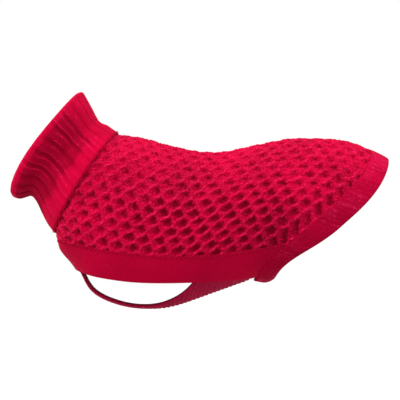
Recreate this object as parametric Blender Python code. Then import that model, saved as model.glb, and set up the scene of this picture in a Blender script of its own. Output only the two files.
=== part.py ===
"""A knitted sweater for a small dog, filled out as it is when worn, with no wearer in it.

Millimetres in the tables, metres in the meshes. +X points to the tail, +Y to the dog's right side, +Z up. The origin
is on the inside of the back panel at the withers, where the wearer's back holds the sweater up.

The cloth follows one form: closed sections from the neck seam to the rear opening, each given by its point on the
back, its point under the belly and its half width. A place on the form is a station, in millimetres along the
garment from the neck seam, and an angle round the section: 0 on the back, half a turn under the belly, negative on
the left side. The pieces are regions of that form with a wall's thickness. The collar has a form of its own.
"""

import math
from collections import namedtuple

import bmesh
import bpy
import numpy as np

for item in list(bpy.data.objects):
    bpy.data.objects.remove(item)
garment = bpy.data.collections.new("dog_sweater")
bpy.context.scene.collection.children.link(garment)

MM = 0.001
HALF_TURN = math.pi

SEAM_GAP = 0.3
WIDEST_ANGLE = HALF_TURN / 2

BODY_WALL = 3.0
BAND_WALL = 2.0
REAR_BAND_WALL = 2.2
BELLY_WALL = 1.8
COLLAR_WALL = 2.2

BAND_FACE = -0.2
LAP_GAP = 0.8
BELLY_FACE = BAND_FACE - BAND_WALL - LAP_GAP
REAR_BAND_FACE = 0.5

Section = namedtuple(
    "Section", "back_x back_z belly_x belly_z half_width bow skew tuck high_power low_power pear"
)
SECTIONS = [
    Section(-20.0, 6.0, -90.4, -104.9, 54.6, 0.0, 0.0, 0.0, 2.05, 2.03, 0.03),
    Section(-5.0, 3.5, -81.4, -117.3, 56.8, 0.0, 0.0, 0.0, 2.10, 2.06, 0.06),
    Section(10.0, -1.0, -71.7, -130.8, 58.2, 0.0, 0.0, 0.0, 2.15, 2.10, 0.09),
    Section(26.0, -4.7, -61.0, -149.4, 59.2, 0.0, 0.0, 0.0, 2.15, 2.10, 0.10),
    Section(42.0, -8.3, -39.0, -162.6, 59.6, 0.0, 0.0, 0.0, 2.15, 2.10, 0.10),
    Section(60.0, -10.1, -14.0, -168.4, 59.6, 0.0, 0.0, 0.0, 2.15, 2.10, 0.10),
    Section(78.0, -9.1, 9.0, -168.4, 59.3, 0.0, 0.0, 0.0, 2.15, 2.10, 0.10),
    Section(96.0, -5.1, 29.0, -164.6, 58.5, 0.0, 1.0, 0.0, 2.15, 2.12, 0.10),
    Section(114.0, -1.3, 47.0, -158.6, 57.3, 0.0, 3.0, 0.0, 2.15, 2.17, 0.10),
    Section(133.0, 2.5, 63.5, -152.6, 56.2, 0.5, 6.0, 0.0, 2.15, 2.25, 0.10),
    Section(154.0, 3.9, 78.0, -147.4, 55.6, 1.0, 9.0, 0.0, 2.15, 2.34, 0.09),
    Section(176.0, 3.4, 89.5, -143.2, 55.3, 2.0, 12.0, 0.0, 2.15, 2.44, 0.08),
    Section(199.0, 0.4, 98.5, -139.8, 55.0, 3.0, 14.5, 0.5, 2.15, 2.50, 0.07),
    Section(220.5, -7.8, 105.5, -138.0, 54.4, 3.7, 15.0, 1.5, 2.15, 2.55, 0.06),
    Section(229.5, -12.0, 115.0, -139.2, 53.5, 6.9, 12.0, 2.8, 2.15, 2.55, 0.05),
    Section(238.0, -16.7, 123.8, -135.4, 52.4, 9.6, 9.8, 4.0, 2.15, 2.55, 0.05),
]
REAR_SEAM_ROW = -3

CREASE_END_SHARE = 0.08
Crease = namedtuple("Crease", "side start_x start_z end_x end_z depth width")
CREASES = [
    Crease(-1, -50.0, -54.0, -72.0, -68.0, 1.6, 4.0),
    Crease(-1, -56.0, -66.0, -79.0, -86.0, 2.4, 4.5),
    Crease(1, -51.0, -58.0, -74.0, -75.0, 2.2, 4.5),
    Crease(1, -60.0, -75.0, -78.0, -91.0, 1.4, 4.0),
]

LinePoint = namedtuple("LinePoint", "x z")
BAND_TOP_LINE = [
    LinePoint(-95.0, -97.5),
    LinePoint(-70.0, -103.5),
    LinePoint(-50.0, -107.4),
    LinePoint(-20.0, -111.5),
    LinePoint(10.0, -114.2),
    LinePoint(40.0, -114.4),
    LinePoint(70.0, -113.0),
    LinePoint(100.0, -108.6),
    LinePoint(130.0, -103.0),
    LinePoint(160.0, -96.0),
]
HEM_LINE = [
    LinePoint(-80.0, -125.2),
    LinePoint(-56.5, -132.7),
    LinePoint(-36.4, -136.5),
    LinePoint(-16.9, -138.9),
    LinePoint(11.8, -140.0),
    LinePoint(43.3, -139.6),
    LinePoint(83.6, -137.6),
    LinePoint(105.0, -134.8),
    LinePoint(130.0, -129.4),
]

StrapRow = namedtuple("StrapRow", "along half_width")
STRAP = [
    StrapRow(0.00, 14.0),
    StrapRow(0.10, 13.5),
    StrapRow(0.30, 16.0),
    StrapRow(0.62, 18.0),
    StrapRow(0.74, 21.0),
    StrapRow(0.86, 29.0),
    StrapRow(0.94, 37.0),
    StrapRow(1.00, 46.0),
]
STRAP_MEETS_HEM_X = 47.0
OVERLAP = 5.0
HEM_LAP = 2.5

CollarRing = namedtuple("CollarRing", "nape_x nape_z throat_x throat_z half_width bulge")
COLLAR_RINGS = [
    CollarRing(-67.5, 48.9, -135.0, -54.0, 50.0, 1.8),
    CollarRing(-63.2, 41.3, -130.0, -55.0, 49.6, 1.6),
    CollarRing(-59.5, 34.5, -124.0, -53.2, 48.2, 1.2),
    CollarRing(-55.5, 26.5, -118.5, -52.3, 46.4, 0.6),
    CollarRing(-51.4, 20.4, -115.0, -54.8, 45.2, 0.2),
    CollarRing(-45.5, 17.2, -109.8, -63.4, 46.6, 0.0),
    CollarRing(-38.5, 14.2, -103.0, -79.7, 50.0, 0.0),
    CollarRing(-31.3, 10.9, -95.6, -91.7, 54.0, 0.0),
]
NECK_SEAM_RING = 4.6
RIBS = 25
RIB_HEIGHT = 1.1
RIB_SHOULDERS = (0.24, 0.76)
RIB_END_SCALLOP = 1.2
FOLD_GAP_NAPE = 1.0
FOLD_GAP_THROAT = 6.5
LAYER_GAP = 0.8
UNDER_COLLAR_GAP = 1.0
UNDER_COLLAR_ROWS = 3
FOLD_GAP_LENGTH = 16.0
OUTER_LAYER_SHARES = (0.93, 0.8, 0.66, 0.52, 0.4, 0.3, 0.2, 0.1, 0.0)
UNDER_LAYER_SHARES = (0.0, 0.2, 0.4, 0.6, 0.8)
FOLD_TURNS = (36, 72, 108, 144)
INSIDE_ROWS = 6
FREE_EDGE_RIB = 0.7
COLLAR_END = 0.1

BODY_COLUMNS = 36
BODY_CLOSED_ROWS = 6
BODY_OPEN_ROWS = 30
FRONT_CROWDING = 1.4
BAND_COLUMNS = 4
STRAP_ROWS = 20
BELLY_ROWS = 12
BELLY_COLUMNS = 8
REAR_ROWS = 2

HALVINGS = 40
SURFACE_STEP = 0.05
ANGLE_STEP = 0.002
SAME_POINT_DECIMALS = 4
SHARPEST_CORNER = 0.5
SHARP_EDGE_DEGREES = 50
CLOTH_ROUGHNESS = 0.85

RED = (0.55, 0.0, 0.03, 1.0)
DEEP_RED = (0.42, 0.0, 0.025, 1.0)
BRIGHT_RED = (0.62, 0.0, 0.035, 1.0)


def spline(knots, values):
    """A smooth curve through rows of values at rising knots, straight at both ends: a natural cubic spline."""
    knots = np.asarray(knots, float)
    values = np.asarray(values, float)
    count = len(knots)
    step = np.diff(knots)
    slope = np.diff(values, axis=0) / step[:, None]
    matrix = np.eye(count)
    right = np.zeros_like(values)
    for i in range(1, count - 1):
        matrix[i, i - 1 : i + 2] = step[i - 1], 2 * (step[i - 1] + step[i]), step[i]
        right[i] = 6 * (slope[i] - slope[i - 1])
    bend = np.linalg.solve(matrix, right)

    def at(place):
        place = np.atleast_1d(np.asarray(place, float))
        i = np.clip(np.searchsorted(knots, place, side="right") - 1, 0, count - 2)
        h = step[i][:, None]
        a = (knots[i + 1] - place)[:, None] / h
        b = 1 - a
        return (
            a * values[i]
            + b * values[i + 1]
            + ((a**3 - a) * bend[i] + (b**3 - b) * bend[i + 1]) * h**2 / 6
        )

    return at


def distances(first, second):
    """Running mean of the distances along two lists of points, the knots of a loft between them."""
    steps = [
        0.5 * (math.dist(first[i], first[i + 1]) + math.dist(second[i], second[i + 1]))
        for i in range(len(first) - 1)
    ]
    return np.concatenate([[0.0], np.cumsum(steps)])


RING_PLACES = distances(
    [(row.nape_x, row.nape_z) for row in COLLAR_RINGS],
    [(row.throat_x, row.throat_z) for row in COLLAR_RINGS],
)
RING_AT = spline(RING_PLACES, COLLAR_RINGS)
COLLAR_LENGTH = RING_PLACES[-1]
NECK_SEAM = float(np.interp(NECK_SEAM_RING, range(len(RING_PLACES)), RING_PLACES))


def normals_of(surface, first, second):
    """Unit normals of a surface of two parameters, by small steps, turned away from its middle."""
    along = surface(first + SURFACE_STEP, second) - surface(first - SURFACE_STEP, second)
    round_ = surface(first, second + ANGLE_STEP) - surface(first, second - ANGLE_STEP)
    normal = np.cross(along, round_)
    return normal / np.linalg.norm(normal, axis=-1, keepdims=True)


def collar_form(place, angle):
    """The outer face of the collar at distances from the fold and angles round the neck, 0 at the nape."""
    row = CollarRing(*RING_AT(np.clip(place, 0, COLLAR_LENGTH)).T)
    half_x = (row.nape_x - row.throat_x) / 2
    half_z = (row.nape_z - row.throat_z) / 2
    half = np.hypot(half_x, half_z)
    up = row.bulge * np.sin(angle) ** 2 * (1 - 2 * np.cos(angle))
    x = row.throat_x + half_x * (1 + np.cos(angle)) - up * half_z / half
    z = row.throat_z + half_z * (1 + np.cos(angle)) + up * half_x / half
    y = row.half_width * np.sin(angle)
    return np.stack([x, y, z], axis=-1)


def collar_point(place, depth, angle):
    """Points of the collar at distances from the fold, negative past it, and depths under its outer face."""
    held = np.clip(place, COLLAR_END, COLLAR_LENGTH - COLLAR_END)
    normal = normals_of(collar_form, held, angle)
    onward = collar_form(held + SURFACE_STEP, angle) - collar_form(held - SURFACE_STEP, angle)
    onward /= np.linalg.norm(onward, axis=-1, keepdims=True)
    base = collar_form(held, angle)
    return base + onward * (place - held)[:, None] - normal * depth[:, None]


def section_under_collar(place):
    """The body's section where the collar lies over it, just clear of the collar's inside."""
    across = np.full(1, place)
    under = np.full(1, COLLAR_WALL + UNDER_COLLAR_GAP)

    def inside(angle):
        return collar_point(across, under, np.full(1, angle))[0]

    nape = inside(0.0)
    throat = inside(HALF_TURN)
    side = inside(WIDEST_ANGLE)
    return Section(nape[0], nape[2], throat[0], throat[2], side[1], 0.0, 0.0, 0.0, 2.0, 2.0, 0.0)


UNDER_COLLAR_PLACES = np.linspace(NECK_SEAM, COLLAR_LENGTH - COLLAR_END, UNDER_COLLAR_ROWS)
ALL_SECTIONS = [section_under_collar(place) for place in UNDER_COLLAR_PLACES] + SECTIONS
STATIONS = distances(
    [(row.back_x, row.back_z) for row in ALL_SECTIONS],
    [(row.belly_x, row.belly_z) for row in ALL_SECTIONS],
)
SECTION_AT = spline(STATIONS, ALL_SECTIONS)
REAR_SEAM = STATIONS[REAR_SEAM_ROW]
REAR_EDGE = STATIONS[-1]


def smooth_form(station, angle):
    """The outer face of the cloth, before its creases, at stations and angles."""
    row = Section(*SECTION_AT(station).T)
    cosine = np.cos(angle)
    sine = np.sin(angle)
    power = np.where(cosine < 0, row.low_power, row.high_power)
    along = np.sign(cosine) * np.abs(cosine) ** (2 / power)
    across = np.sign(sine) * np.abs(sine) ** (2 / power)
    half_x = (row.back_x - row.belly_x) / 2
    half_z = (row.back_z - row.belly_z) / 2
    chord = np.hypot(half_x, half_z)
    out = sine**2 * (row.bow + row.skew * cosine)
    out -= np.where(cosine < 0, row.tuck * np.sin(2 * angle) ** 2, 0)
    x = row.belly_x + half_x * (1 + along) + out * half_z / chord
    z = row.belly_z + half_z * (1 + along) - out * half_x / chord
    y = row.half_width * across * (1 - row.pear * along)
    return np.stack([x, y, z], axis=-1)


def crease_depth(points):
    """How far each point sinks into the creases of its side."""
    depth = np.zeros(len(points))
    for crease in CREASES:
        start = np.array([crease.start_x, crease.start_z])
        run = np.array([crease.end_x, crease.end_z]) - start
        flat = points[:, [0, 2]] - start
        share = np.clip(flat @ run / (run @ run), 0, 1)
        away = np.linalg.norm(flat - share[:, None] * run, axis=1)
        fade = np.sin(HALF_TURN * np.clip(share, CREASE_END_SHARE, 1 - CREASE_END_SHARE))
        trough = crease.depth * fade * np.exp(-((away / crease.width) ** 2))
        depth += np.where(points[:, 1] * crease.side > 0, trough, 0)
    return depth


def form(station, angle, out=0.0):
    """The cloth's outer face at stations and angles, moved out by a distance."""
    station, angle, out = np.broadcast_arrays(
        np.asarray(station, float), np.asarray(angle, float), np.asarray(out, float)
    )
    shape = station.shape
    station, angle, out = station.ravel(), angle.ravel(), out.ravel()
    points = smooth_form(station, angle)
    normal = normals_of(smooth_form, station, angle)
    points = points + normal * (out - crease_depth(points))[:, None]
    return points.reshape(*shape, 3)


def halve(is_near, near, far):
    """The place between two where a test that holds at the near one stops holding."""
    for _ in range(HALVINGS):
        middle = (near + far) / 2
        if is_near(middle):
            near = middle
        else:
            far = middle
    return (near + far) / 2


def point_at(station, angle):
    """One point of the form before its creases."""
    return smooth_form(np.array([station]), np.array([angle]))[0]


def angle_on_line(station, line):
    """The angle where a section crosses a line drawn on the side view, half a turn if it never does."""
    height = spline([point.x for point in line], [[point.z] for point in line])

    def above(angle):
        point = point_at(station, angle)
        return point[2] > height(point[0])[0, 0]

    return HALF_TURN if above(HALF_TURN) else halve(above, WIDEST_ANGLE, HALF_TURN)


def chest_station(line):
    """The station where a line on the side view meets the front of the chest."""
    return halve(lambda station: angle_on_line(station, line) == HALF_TURN, 0.0, REAR_SEAM / 2)


def edge_of(line, count):
    """Stations and angles along a line from the chest's front to the rear seam, closest together at the front."""
    start = chest_station(line)
    stations = start + (REAR_SEAM - start) * np.linspace(0, 1, count) ** FRONT_CROWDING
    angles = np.array([HALF_TURN] + [angle_on_line(s, line) for s in stations[1:]])
    return stations, angles


def wall(name, outer, inner, colour, closed=False, trim=SEAM_GAP / 2):
    """A closed wall between two grids of points: where they meet edge to edge they are joined, and elsewhere the
    wall's edge is drawn back by half a seam's gap."""
    rows, columns = outer.shape[:2]
    outer = outer.reshape(-1, 3).copy()
    inner = inner.reshape(-1, 3).copy()
    _, first, index = np.unique(np.round(outer, SAME_POINT_DECIMALS), axis=0, return_index=True, return_inverse=True)
    index = index.reshape(rows, columns)
    quads = []
    for i in range(rows - 1):
        for j in range(columns if closed else columns - 1):
            k = (j + 1) % columns
            quad = [index[i, j], index[i, k], index[i + 1, k], index[i + 1, j]]
            corners = [v for n, v in enumerate(quad) if v != quad[n - 1]]
            if len(corners) > 2:
                quads.append(corners)
    outer, inner = outer[first], inner[first]
    sides = {}
    for quad in quads:
        for n, corner in enumerate(quad):
            sides[(quad[n - 1], corner)] = quad
    rim = [side for side in sides if (side[1], side[0]) not in sides]
    if trim:
        inward = {}
        for a, b in rim:
            middle = outer[sides[(a, b)]].mean(axis=0)
            run = outer[b] - outer[a]
            run /= np.linalg.norm(run)
            step = middle - outer[a]
            step -= run * (step @ run)
            step /= np.linalg.norm(step)
            for corner in (a, b):
                inward.setdefault(corner, []).append(step)
        for corner, steps in inward.items():
            total = np.sum(steps, axis=0)
            total /= np.linalg.norm(total)
            reach = trim / max(SHARPEST_CORNER, float(total @ steps[0]))
            outer[corner] += total * reach
            inner[corner] += total * reach
    count = len(outer)
    faces = quads + [[count + v for v in reversed(quad)] for quad in quads]
    faces += [[b, a, count + a, count + b] for a, b in rim]
    return solid(name, np.concatenate([outer, inner]), faces, colour)


def solid(name, points, faces, colour):
    """A smooth object made of points in millimetres and faces, with a material of its own."""
    mesh = bpy.data.meshes.new(name)
    mesh.from_pydata((points * MM).tolist(), [], [list(map(int, face)) for face in faces])
    build = bmesh.new()
    build.from_mesh(mesh)
    bmesh.ops.recalc_face_normals(build, faces=build.faces)
    build.to_mesh(mesh)
    build.free()
    mesh.shade_smooth()
    mesh.set_sharp_from_angle(angle=math.radians(SHARP_EDGE_DEGREES))
    piece = bpy.data.objects.new(name, mesh)
    garment.objects.link(piece)
    material = bpy.data.materials.new(name)
    material.use_nodes = True
    shader = material.node_tree.nodes["Principled BSDF"]
    shader.inputs["Base Color"].default_value = colour
    shader.inputs["Roughness"].default_value = CLOTH_ROUGHNESS
    shader.inputs["Metallic"].default_value = 0.0
    mesh.materials.append(material)
    return piece


def body_panel():
    """The honeycomb knit: whole rings at the neck, then open below along the top of the leg band."""
    stations, angles = edge_of(BAND_TOP_LINE, BODY_OPEN_ROWS + 1)
    closed = np.linspace(0, stations[0], BODY_CLOSED_ROWS, endpoint=False)
    stations = np.concatenate([closed, stations])
    angles = np.concatenate([np.full(len(closed), HALF_TURN), angles])
    share = np.linspace(-1, 1, BODY_COLUMNS + 1)
    station = np.repeat(stations[:, None], len(share), axis=1)
    angle = angles[:, None] * share
    outer = form(station, angle)
    inner = form(station, angle, -BODY_WALL)
    wall("body_panel", outer, inner, RED)


def leg_band():
    """The band along the lower edge, from the left rear round the chest to the right rear."""
    top_station, top_angle = edge_of(BAND_TOP_LINE, BODY_OPEN_ROWS + 1)
    hem_station, hem_angle = edge_of(HEM_LINE, BODY_OPEN_ROWS + 1)
    across = np.linspace(0, 1, BAND_COLUMNS + 1)
    station = top_station[:, None] * (1 - across) + hem_station[:, None] * across
    right = top_angle[:, None] * (1 - across) + hem_angle[:, None] * across
    left = 2 * HALF_TURN - right
    station = np.concatenate([station[::-1], station[1:]])
    angle = np.concatenate([left[::-1], right[1:]])
    outer = form(station, angle, BAND_FACE)
    inner = form(station, angle, BAND_FACE - BAND_WALL)
    wall("leg_band", outer, inner, BRIGHT_RED)


def belly_rows():
    """Each row of the belly panel: its station and the angle of its right edge."""
    first = chest_station(HEM_LINE) - OVERLAP
    last = REAR_SEAM + OVERLAP

    def is_free(station):
        return point_at(station, angle_on_line(station, HEM_LINE))[0] < STRAP_MEETS_HEM_X

    meets = halve(is_free, first, last)
    strap_at = spline([row.along for row in STRAP], STRAP)
    for station in np.linspace(first, meets, STRAP_ROWS, endpoint=False):
        half_width = StrapRow(*strap_at((station - first) / (meets - first))[0]).half_width
        yield station, halve(lambda angle: point_at(station, angle)[1] > half_width, WIDEST_ANGLE, HALF_TURN)
    for station in np.linspace(meets, last, BELLY_ROWS):
        held = min(station, REAR_SEAM)
        hem = angle_on_line(held, HEM_LINE)
        yield station, hem - HEM_LAP / max(point_at(held, hem)[1], OVERLAP)


def belly_panel():
    """The strap between the front legs, which widens into the belly panel under the leg band."""
    share = np.linspace(-1, 1, BELLY_COLUMNS + 1)
    rows = np.array(list(belly_rows()))
    station = np.repeat(rows[:, :1], len(share), axis=1)
    angle = HALF_TURN + (HALF_TURN - rows[:, 1:]) * share
    outer = form(station, angle, BELLY_FACE)
    inner = form(station, angle, BELLY_FACE - BELLY_WALL)
    wall("belly_panel", outer, inner, DEEP_RED, trim=0)


def rear_band():
    """The band all round the rear opening, its columns in line with those of the pieces that it is sewn to."""
    top = angle_on_line(REAR_SEAM, BAND_TOP_LINE)
    hem = angle_on_line(REAR_SEAM, HEM_LINE)
    body = np.linspace(-top, top, BODY_COLUMNS + 1)
    band = np.linspace(top, hem, BAND_COLUMNS + 1)
    belly = np.linspace(hem, 2 * HALF_TURN - hem, BELLY_COLUMNS + 1)
    angle = np.concatenate([body, band[1:], belly[1:], 2 * HALF_TURN - band[-2:0:-1]])
    station = np.linspace(REAR_SEAM, REAR_EDGE, REAR_ROWS + 1)[:, None]
    outer = form(station, angle, REAR_BAND_FACE)
    inner = form(station, angle, REAR_BAND_FACE - REAR_BAND_WALL)
    wall("rear_band", outer, inner, BRIGHT_RED, closed=True)


def rib_columns():
    """Angles of the collar's columns, three to a rib: its groove and its two shoulders, and how high each stands."""
    angles = []
    heights = []
    for rib in range(RIBS):
        for share, height in ((0.0, 0.0), (RIB_SHOULDERS[0], 1.0), (RIB_SHOULDERS[1], 1.0)):
            angles.append((rib + share) * 2 * HALF_TURN / RIBS)
            heights.append(height)
    return np.array(angles), np.array(heights)


def fold_gap(angle, place):
    """The air between the collar's two layers: a soft roll at the fold, fuller at the throat."""
    at_fold = FOLD_GAP_NAPE + (FOLD_GAP_THROAT - FOLD_GAP_NAPE) * (1 - np.cos(angle)) / 2
    fade = np.clip(1 - place / FOLD_GAP_LENGTH, 0, 1) ** 2
    return LAYER_GAP + (at_fold - LAYER_GAP) * fade


def collar():
    """The collar: one closed wall that runs up inside the neck, over the fold and down outside, ribbed outside."""
    angle, height = rib_columns()
    rings = []

    def ring(place, depth, rib=0.0):
        place = np.broadcast_to(np.asarray(place, float), angle.shape)
        depth = np.broadcast_to(np.asarray(depth, float), angle.shape)
        rings.append(collar_point(place, depth - rib * RIB_HEIGHT * height, angle))

    gap = fold_gap(angle, 0.0)
    outer_radius = COLLAR_WALL + gap / 2
    free_edge = COLLAR_LENGTH - RIB_END_SCALLOP * (1 - height)
    ring(free_edge, 0.0, rib=FREE_EDGE_RIB)
    for share in OUTER_LAYER_SHARES:
        ring(share * COLLAR_LENGTH, 0.0, rib=1.0)
    for turn in np.radians(FOLD_TURNS):
        ring(-outer_radius * np.sin(turn), outer_radius * (1 - np.cos(turn)), rib=math.cos(turn / 2) ** 2)
    end = NECK_SEAM - SEAM_GAP / 2
    inner_places = np.linspace(0, end, INSIDE_ROWS)
    for place in inner_places:
        ring(place, 2 * COLLAR_WALL + fold_gap(angle, place))
    for place in inner_places[::-1]:
        ring(place, COLLAR_WALL + fold_gap(angle, place))
    ring(-gap / 2, outer_radius)
    for share in UNDER_LAYER_SHARES:
        ring(share * COLLAR_LENGTH, COLLAR_WALL)
    ring(free_edge, COLLAR_WALL)
    points = np.array(rings)
    count, columns = points.shape[:2]
    faces = []
    for i in range(count):
        for j in range(columns):
            after, beside = (i + 1) % count, (j + 1) % columns
            faces.append(
                [i * columns + j, i * columns + beside, after * columns + beside, after * columns + j]
            )
    solid("collar", points.reshape(-1, 3), faces, DEEP_RED)


body_panel()
leg_band()
belly_panel()
rear_band()
collar()
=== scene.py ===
"""Looks of a knitted sweater for a small dog, filled out as it is when worn, with no wearer in it.

The tables and the form are in millimetres, the meshes in metres. +X points to the tail, +Y to the dog's
right side, +Z up. The cloth follows one form: closed sections from the neck seam to the rear opening. A place
on it is a station, in millimetres along the garment, and an angle round the section: 0 on the back, half a
turn under the belly. The collar has a form of its own. Each piece is a fine wall on its solid's form, and
geometry nodes raise its knit.
"""

import logging
import math
from collections.abc import Callable, Mapping, Sequence
from dataclasses import asdict, dataclass, field
from enum import Enum
from itertools import chain
from typing import NamedTuple

import bpy
import numpy as np
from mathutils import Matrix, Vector


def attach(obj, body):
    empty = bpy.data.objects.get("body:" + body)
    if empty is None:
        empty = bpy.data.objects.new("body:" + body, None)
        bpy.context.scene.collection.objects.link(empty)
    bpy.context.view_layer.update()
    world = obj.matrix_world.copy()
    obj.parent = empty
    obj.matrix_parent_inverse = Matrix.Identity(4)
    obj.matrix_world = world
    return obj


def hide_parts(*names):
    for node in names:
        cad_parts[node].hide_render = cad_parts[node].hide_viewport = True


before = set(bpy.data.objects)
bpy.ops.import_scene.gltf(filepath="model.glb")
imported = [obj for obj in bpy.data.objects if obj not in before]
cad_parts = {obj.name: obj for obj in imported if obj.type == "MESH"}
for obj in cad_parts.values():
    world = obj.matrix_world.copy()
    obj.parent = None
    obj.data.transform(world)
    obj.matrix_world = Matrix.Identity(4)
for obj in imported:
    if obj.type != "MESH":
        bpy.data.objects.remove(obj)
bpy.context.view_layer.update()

BODY = "root"
MM = 0.001
HALF_TURN = math.pi
FULL_TURN = 2 * HALF_TURN
WIDEST_ANGLE = HALF_TURN / 2
SMALL_RUN = 0.05
SMALL_TURN = 0.002
HALVINGS = 40
LINE_PLACES = 500
COARSE_STEP = 3
RIM_PLACES = (0.0, 0.3, 0.8, 1.5)
UV_NAME = "cloth"
# The pit attribute holds painted shade and the crest attribute a painted highlight, which the materials mix
# into the dye.
PAINTED_SHADE, PAINTED_HIGHLIGHT = "pit", "crest"
# The shade mark is painted shade, which the recipes add to the pit attribute.
FORM_MARKS = ("outward", "relief", "course", "wale", "opening", "rib", "shade")

Grid = np.ndarray
Colour = tuple[float, float, float, float]
Inputs = Mapping[int | str, object] | None
log = logging.getLogger("dog_sweater")


class Section(NamedTuple):
    """A closed section of the garment, by its points on the back and under the belly and its half width."""

    back_x: float
    back_z: float
    belly_x: float
    belly_z: float
    half_width: float
    bow: float = 0.0
    skew: float = 0.0
    tuck: float = 0.0
    high_power: float = 2.0
    low_power: float = 2.0
    pear: float = 0.0


class Crease(NamedTuple):
    """A soft trough in one side of the cloth, from a start to an end on the side view."""

    side: int
    start_x: float
    start_z: float
    end_x: float
    end_z: float
    depth: float
    width: float


class LinePoint(NamedTuple):
    """A point of a line that is drawn on the side view."""

    x: float
    z: float


class StrapRow(NamedTuple):
    """Half the strap's width at a share of its length."""

    along: float
    half_width: float


class CollarRing(NamedTuple):
    """A ring of the collar, by its points at the nape and the throat and its half width."""

    nape_x: float
    nape_z: float
    throat_x: float
    throat_z: float
    half_width: float
    bulge: float


SECTIONS = [
    Section(-20.0, 6.0, -90.4, -104.9, 54.6, 0.0, 0.0, 0.0, 2.05, 2.03, 0.03),
    Section(-5.0, 3.5, -81.4, -117.3, 56.8, 0.0, 0.0, 0.0, 2.10, 2.06, 0.06),
    Section(10.0, -1.0, -71.7, -130.8, 58.2, 0.0, 0.0, 0.0, 2.15, 2.10, 0.09),
    Section(26.0, -4.7, -61.0, -149.4, 59.2, 0.0, 0.0, 0.0, 2.15, 2.10, 0.10),
    Section(42.0, -8.3, -39.0, -162.6, 59.6, 0.0, 0.0, 0.0, 2.15, 2.10, 0.10),
    Section(60.0, -10.1, -14.0, -168.4, 59.6, 0.0, 0.0, 0.0, 2.15, 2.10, 0.10),
    Section(78.0, -9.1, 9.0, -168.4, 59.3, 0.0, 0.0, 0.0, 2.15, 2.10, 0.10),
    Section(96.0, -5.1, 29.0, -164.6, 58.5, 0.0, 1.0, 0.0, 2.15, 2.12, 0.10),
    Section(114.0, -1.3, 47.0, -158.6, 57.3, 0.0, 3.0, 0.0, 2.15, 2.17, 0.10),
    Section(133.0, 2.5, 63.5, -152.6, 56.2, 0.5, 6.0, 0.0, 2.15, 2.25, 0.10),
    Section(154.0, 3.9, 78.0, -147.4, 55.6, 1.0, 9.0, 0.0, 2.15, 2.34, 0.09),
    Section(176.0, 3.4, 89.5, -143.2, 55.3, 2.0, 12.0, 0.0, 2.15, 2.44, 0.08),
    Section(199.0, 0.4, 98.5, -139.8, 55.0, 3.0, 14.5, 0.5, 2.15, 2.50, 0.07),
    Section(220.5, -7.8, 105.5, -138.0, 54.4, 3.7, 15.0, 1.5, 2.15, 2.55, 0.06),
    Section(229.5, -12.0, 115.0, -139.2, 53.5, 6.9, 12.0, 2.8, 2.15, 2.55, 0.05),
    Section(238.0, -16.7, 123.8, -135.4, 52.4, 9.6, 9.8, 4.0, 2.15, 2.55, 0.05),
]
REAR_SEAM_ROW = -3

CREASES = [
    Crease(-1, -50.0, -54.0, -72.0, -68.0, 1.6, 4.0),
    Crease(-1, -56.0, -66.0, -79.0, -86.0, 2.4, 4.5),
    Crease(1, -51.0, -58.0, -74.0, -75.0, 2.2, 4.5),
    Crease(1, -60.0, -75.0, -78.0, -91.0, 1.4, 4.0),
]
CREASE_END_SHARE = 0.08

BAND_TOP_LINE = [
    LinePoint(-95.0, -97.5),
    LinePoint(-70.0, -103.5),
    LinePoint(-50.0, -107.4),
    LinePoint(-20.0, -111.5),
    LinePoint(10.0, -114.2),
    LinePoint(40.0, -114.4),
    LinePoint(70.0, -113.0),
    LinePoint(100.0, -108.6),
    LinePoint(130.0, -103.0),
    LinePoint(160.0, -96.0),
]
HEM_LINE = [
    LinePoint(-80.0, -125.2),
    LinePoint(-56.5, -132.7),
    LinePoint(-36.4, -136.5),
    LinePoint(-16.9, -138.9),
    LinePoint(11.8, -140.0),
    LinePoint(43.3, -139.6),
    LinePoint(83.6, -137.6),
    LinePoint(105.0, -134.8),
    LinePoint(130.0, -129.4),
]
STRAP = [
    StrapRow(0.00, 14.0),
    StrapRow(0.10, 13.5),
    StrapRow(0.30, 16.0),
    StrapRow(0.62, 18.0),
    StrapRow(0.74, 21.0),
    StrapRow(0.86, 29.0),
    StrapRow(0.94, 37.0),
    StrapRow(1.00, 46.0),
]
COLLAR_RINGS = [
    CollarRing(-67.5, 48.9, -135.0, -54.0, 50.0, 1.8),
    CollarRing(-63.2, 41.3, -130.0, -55.0, 49.6, 1.6),
    CollarRing(-59.5, 34.5, -124.0, -53.2, 48.2, 1.2),
    CollarRing(-55.5, 26.5, -118.5, -52.3, 46.4, 0.6),
    CollarRing(-51.4, 20.4, -115.0, -54.8, 45.2, 0.2),
    CollarRing(-45.5, 17.2, -109.8, -63.4, 46.6, 0.0),
    CollarRing(-38.5, 14.2, -103.0, -79.7, 50.0, 0.0),
    CollarRing(-31.3, 10.9, -95.6, -91.7, 54.0, 0.0),
]


def dye(red: int, green: int, blue: int) -> Colour:
    """The linear colour of a dye.

    Args:
        red: Red from 0 to 255, as a swatch card gives it.
        green: Green from 0 to 255.
        blue: Blue from 0 to 255.

    Returns:
        Linear red, green, blue and a full alpha.
    """
    levels = [value / 255 for value in (red, green, blue)]
    linear = [((level + 0.055) / 1.055) ** 2.4 if level > 0.04045 else level / 12.92 for level in levels]
    return linear[0], linear[1], linear[2], 1.0


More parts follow.
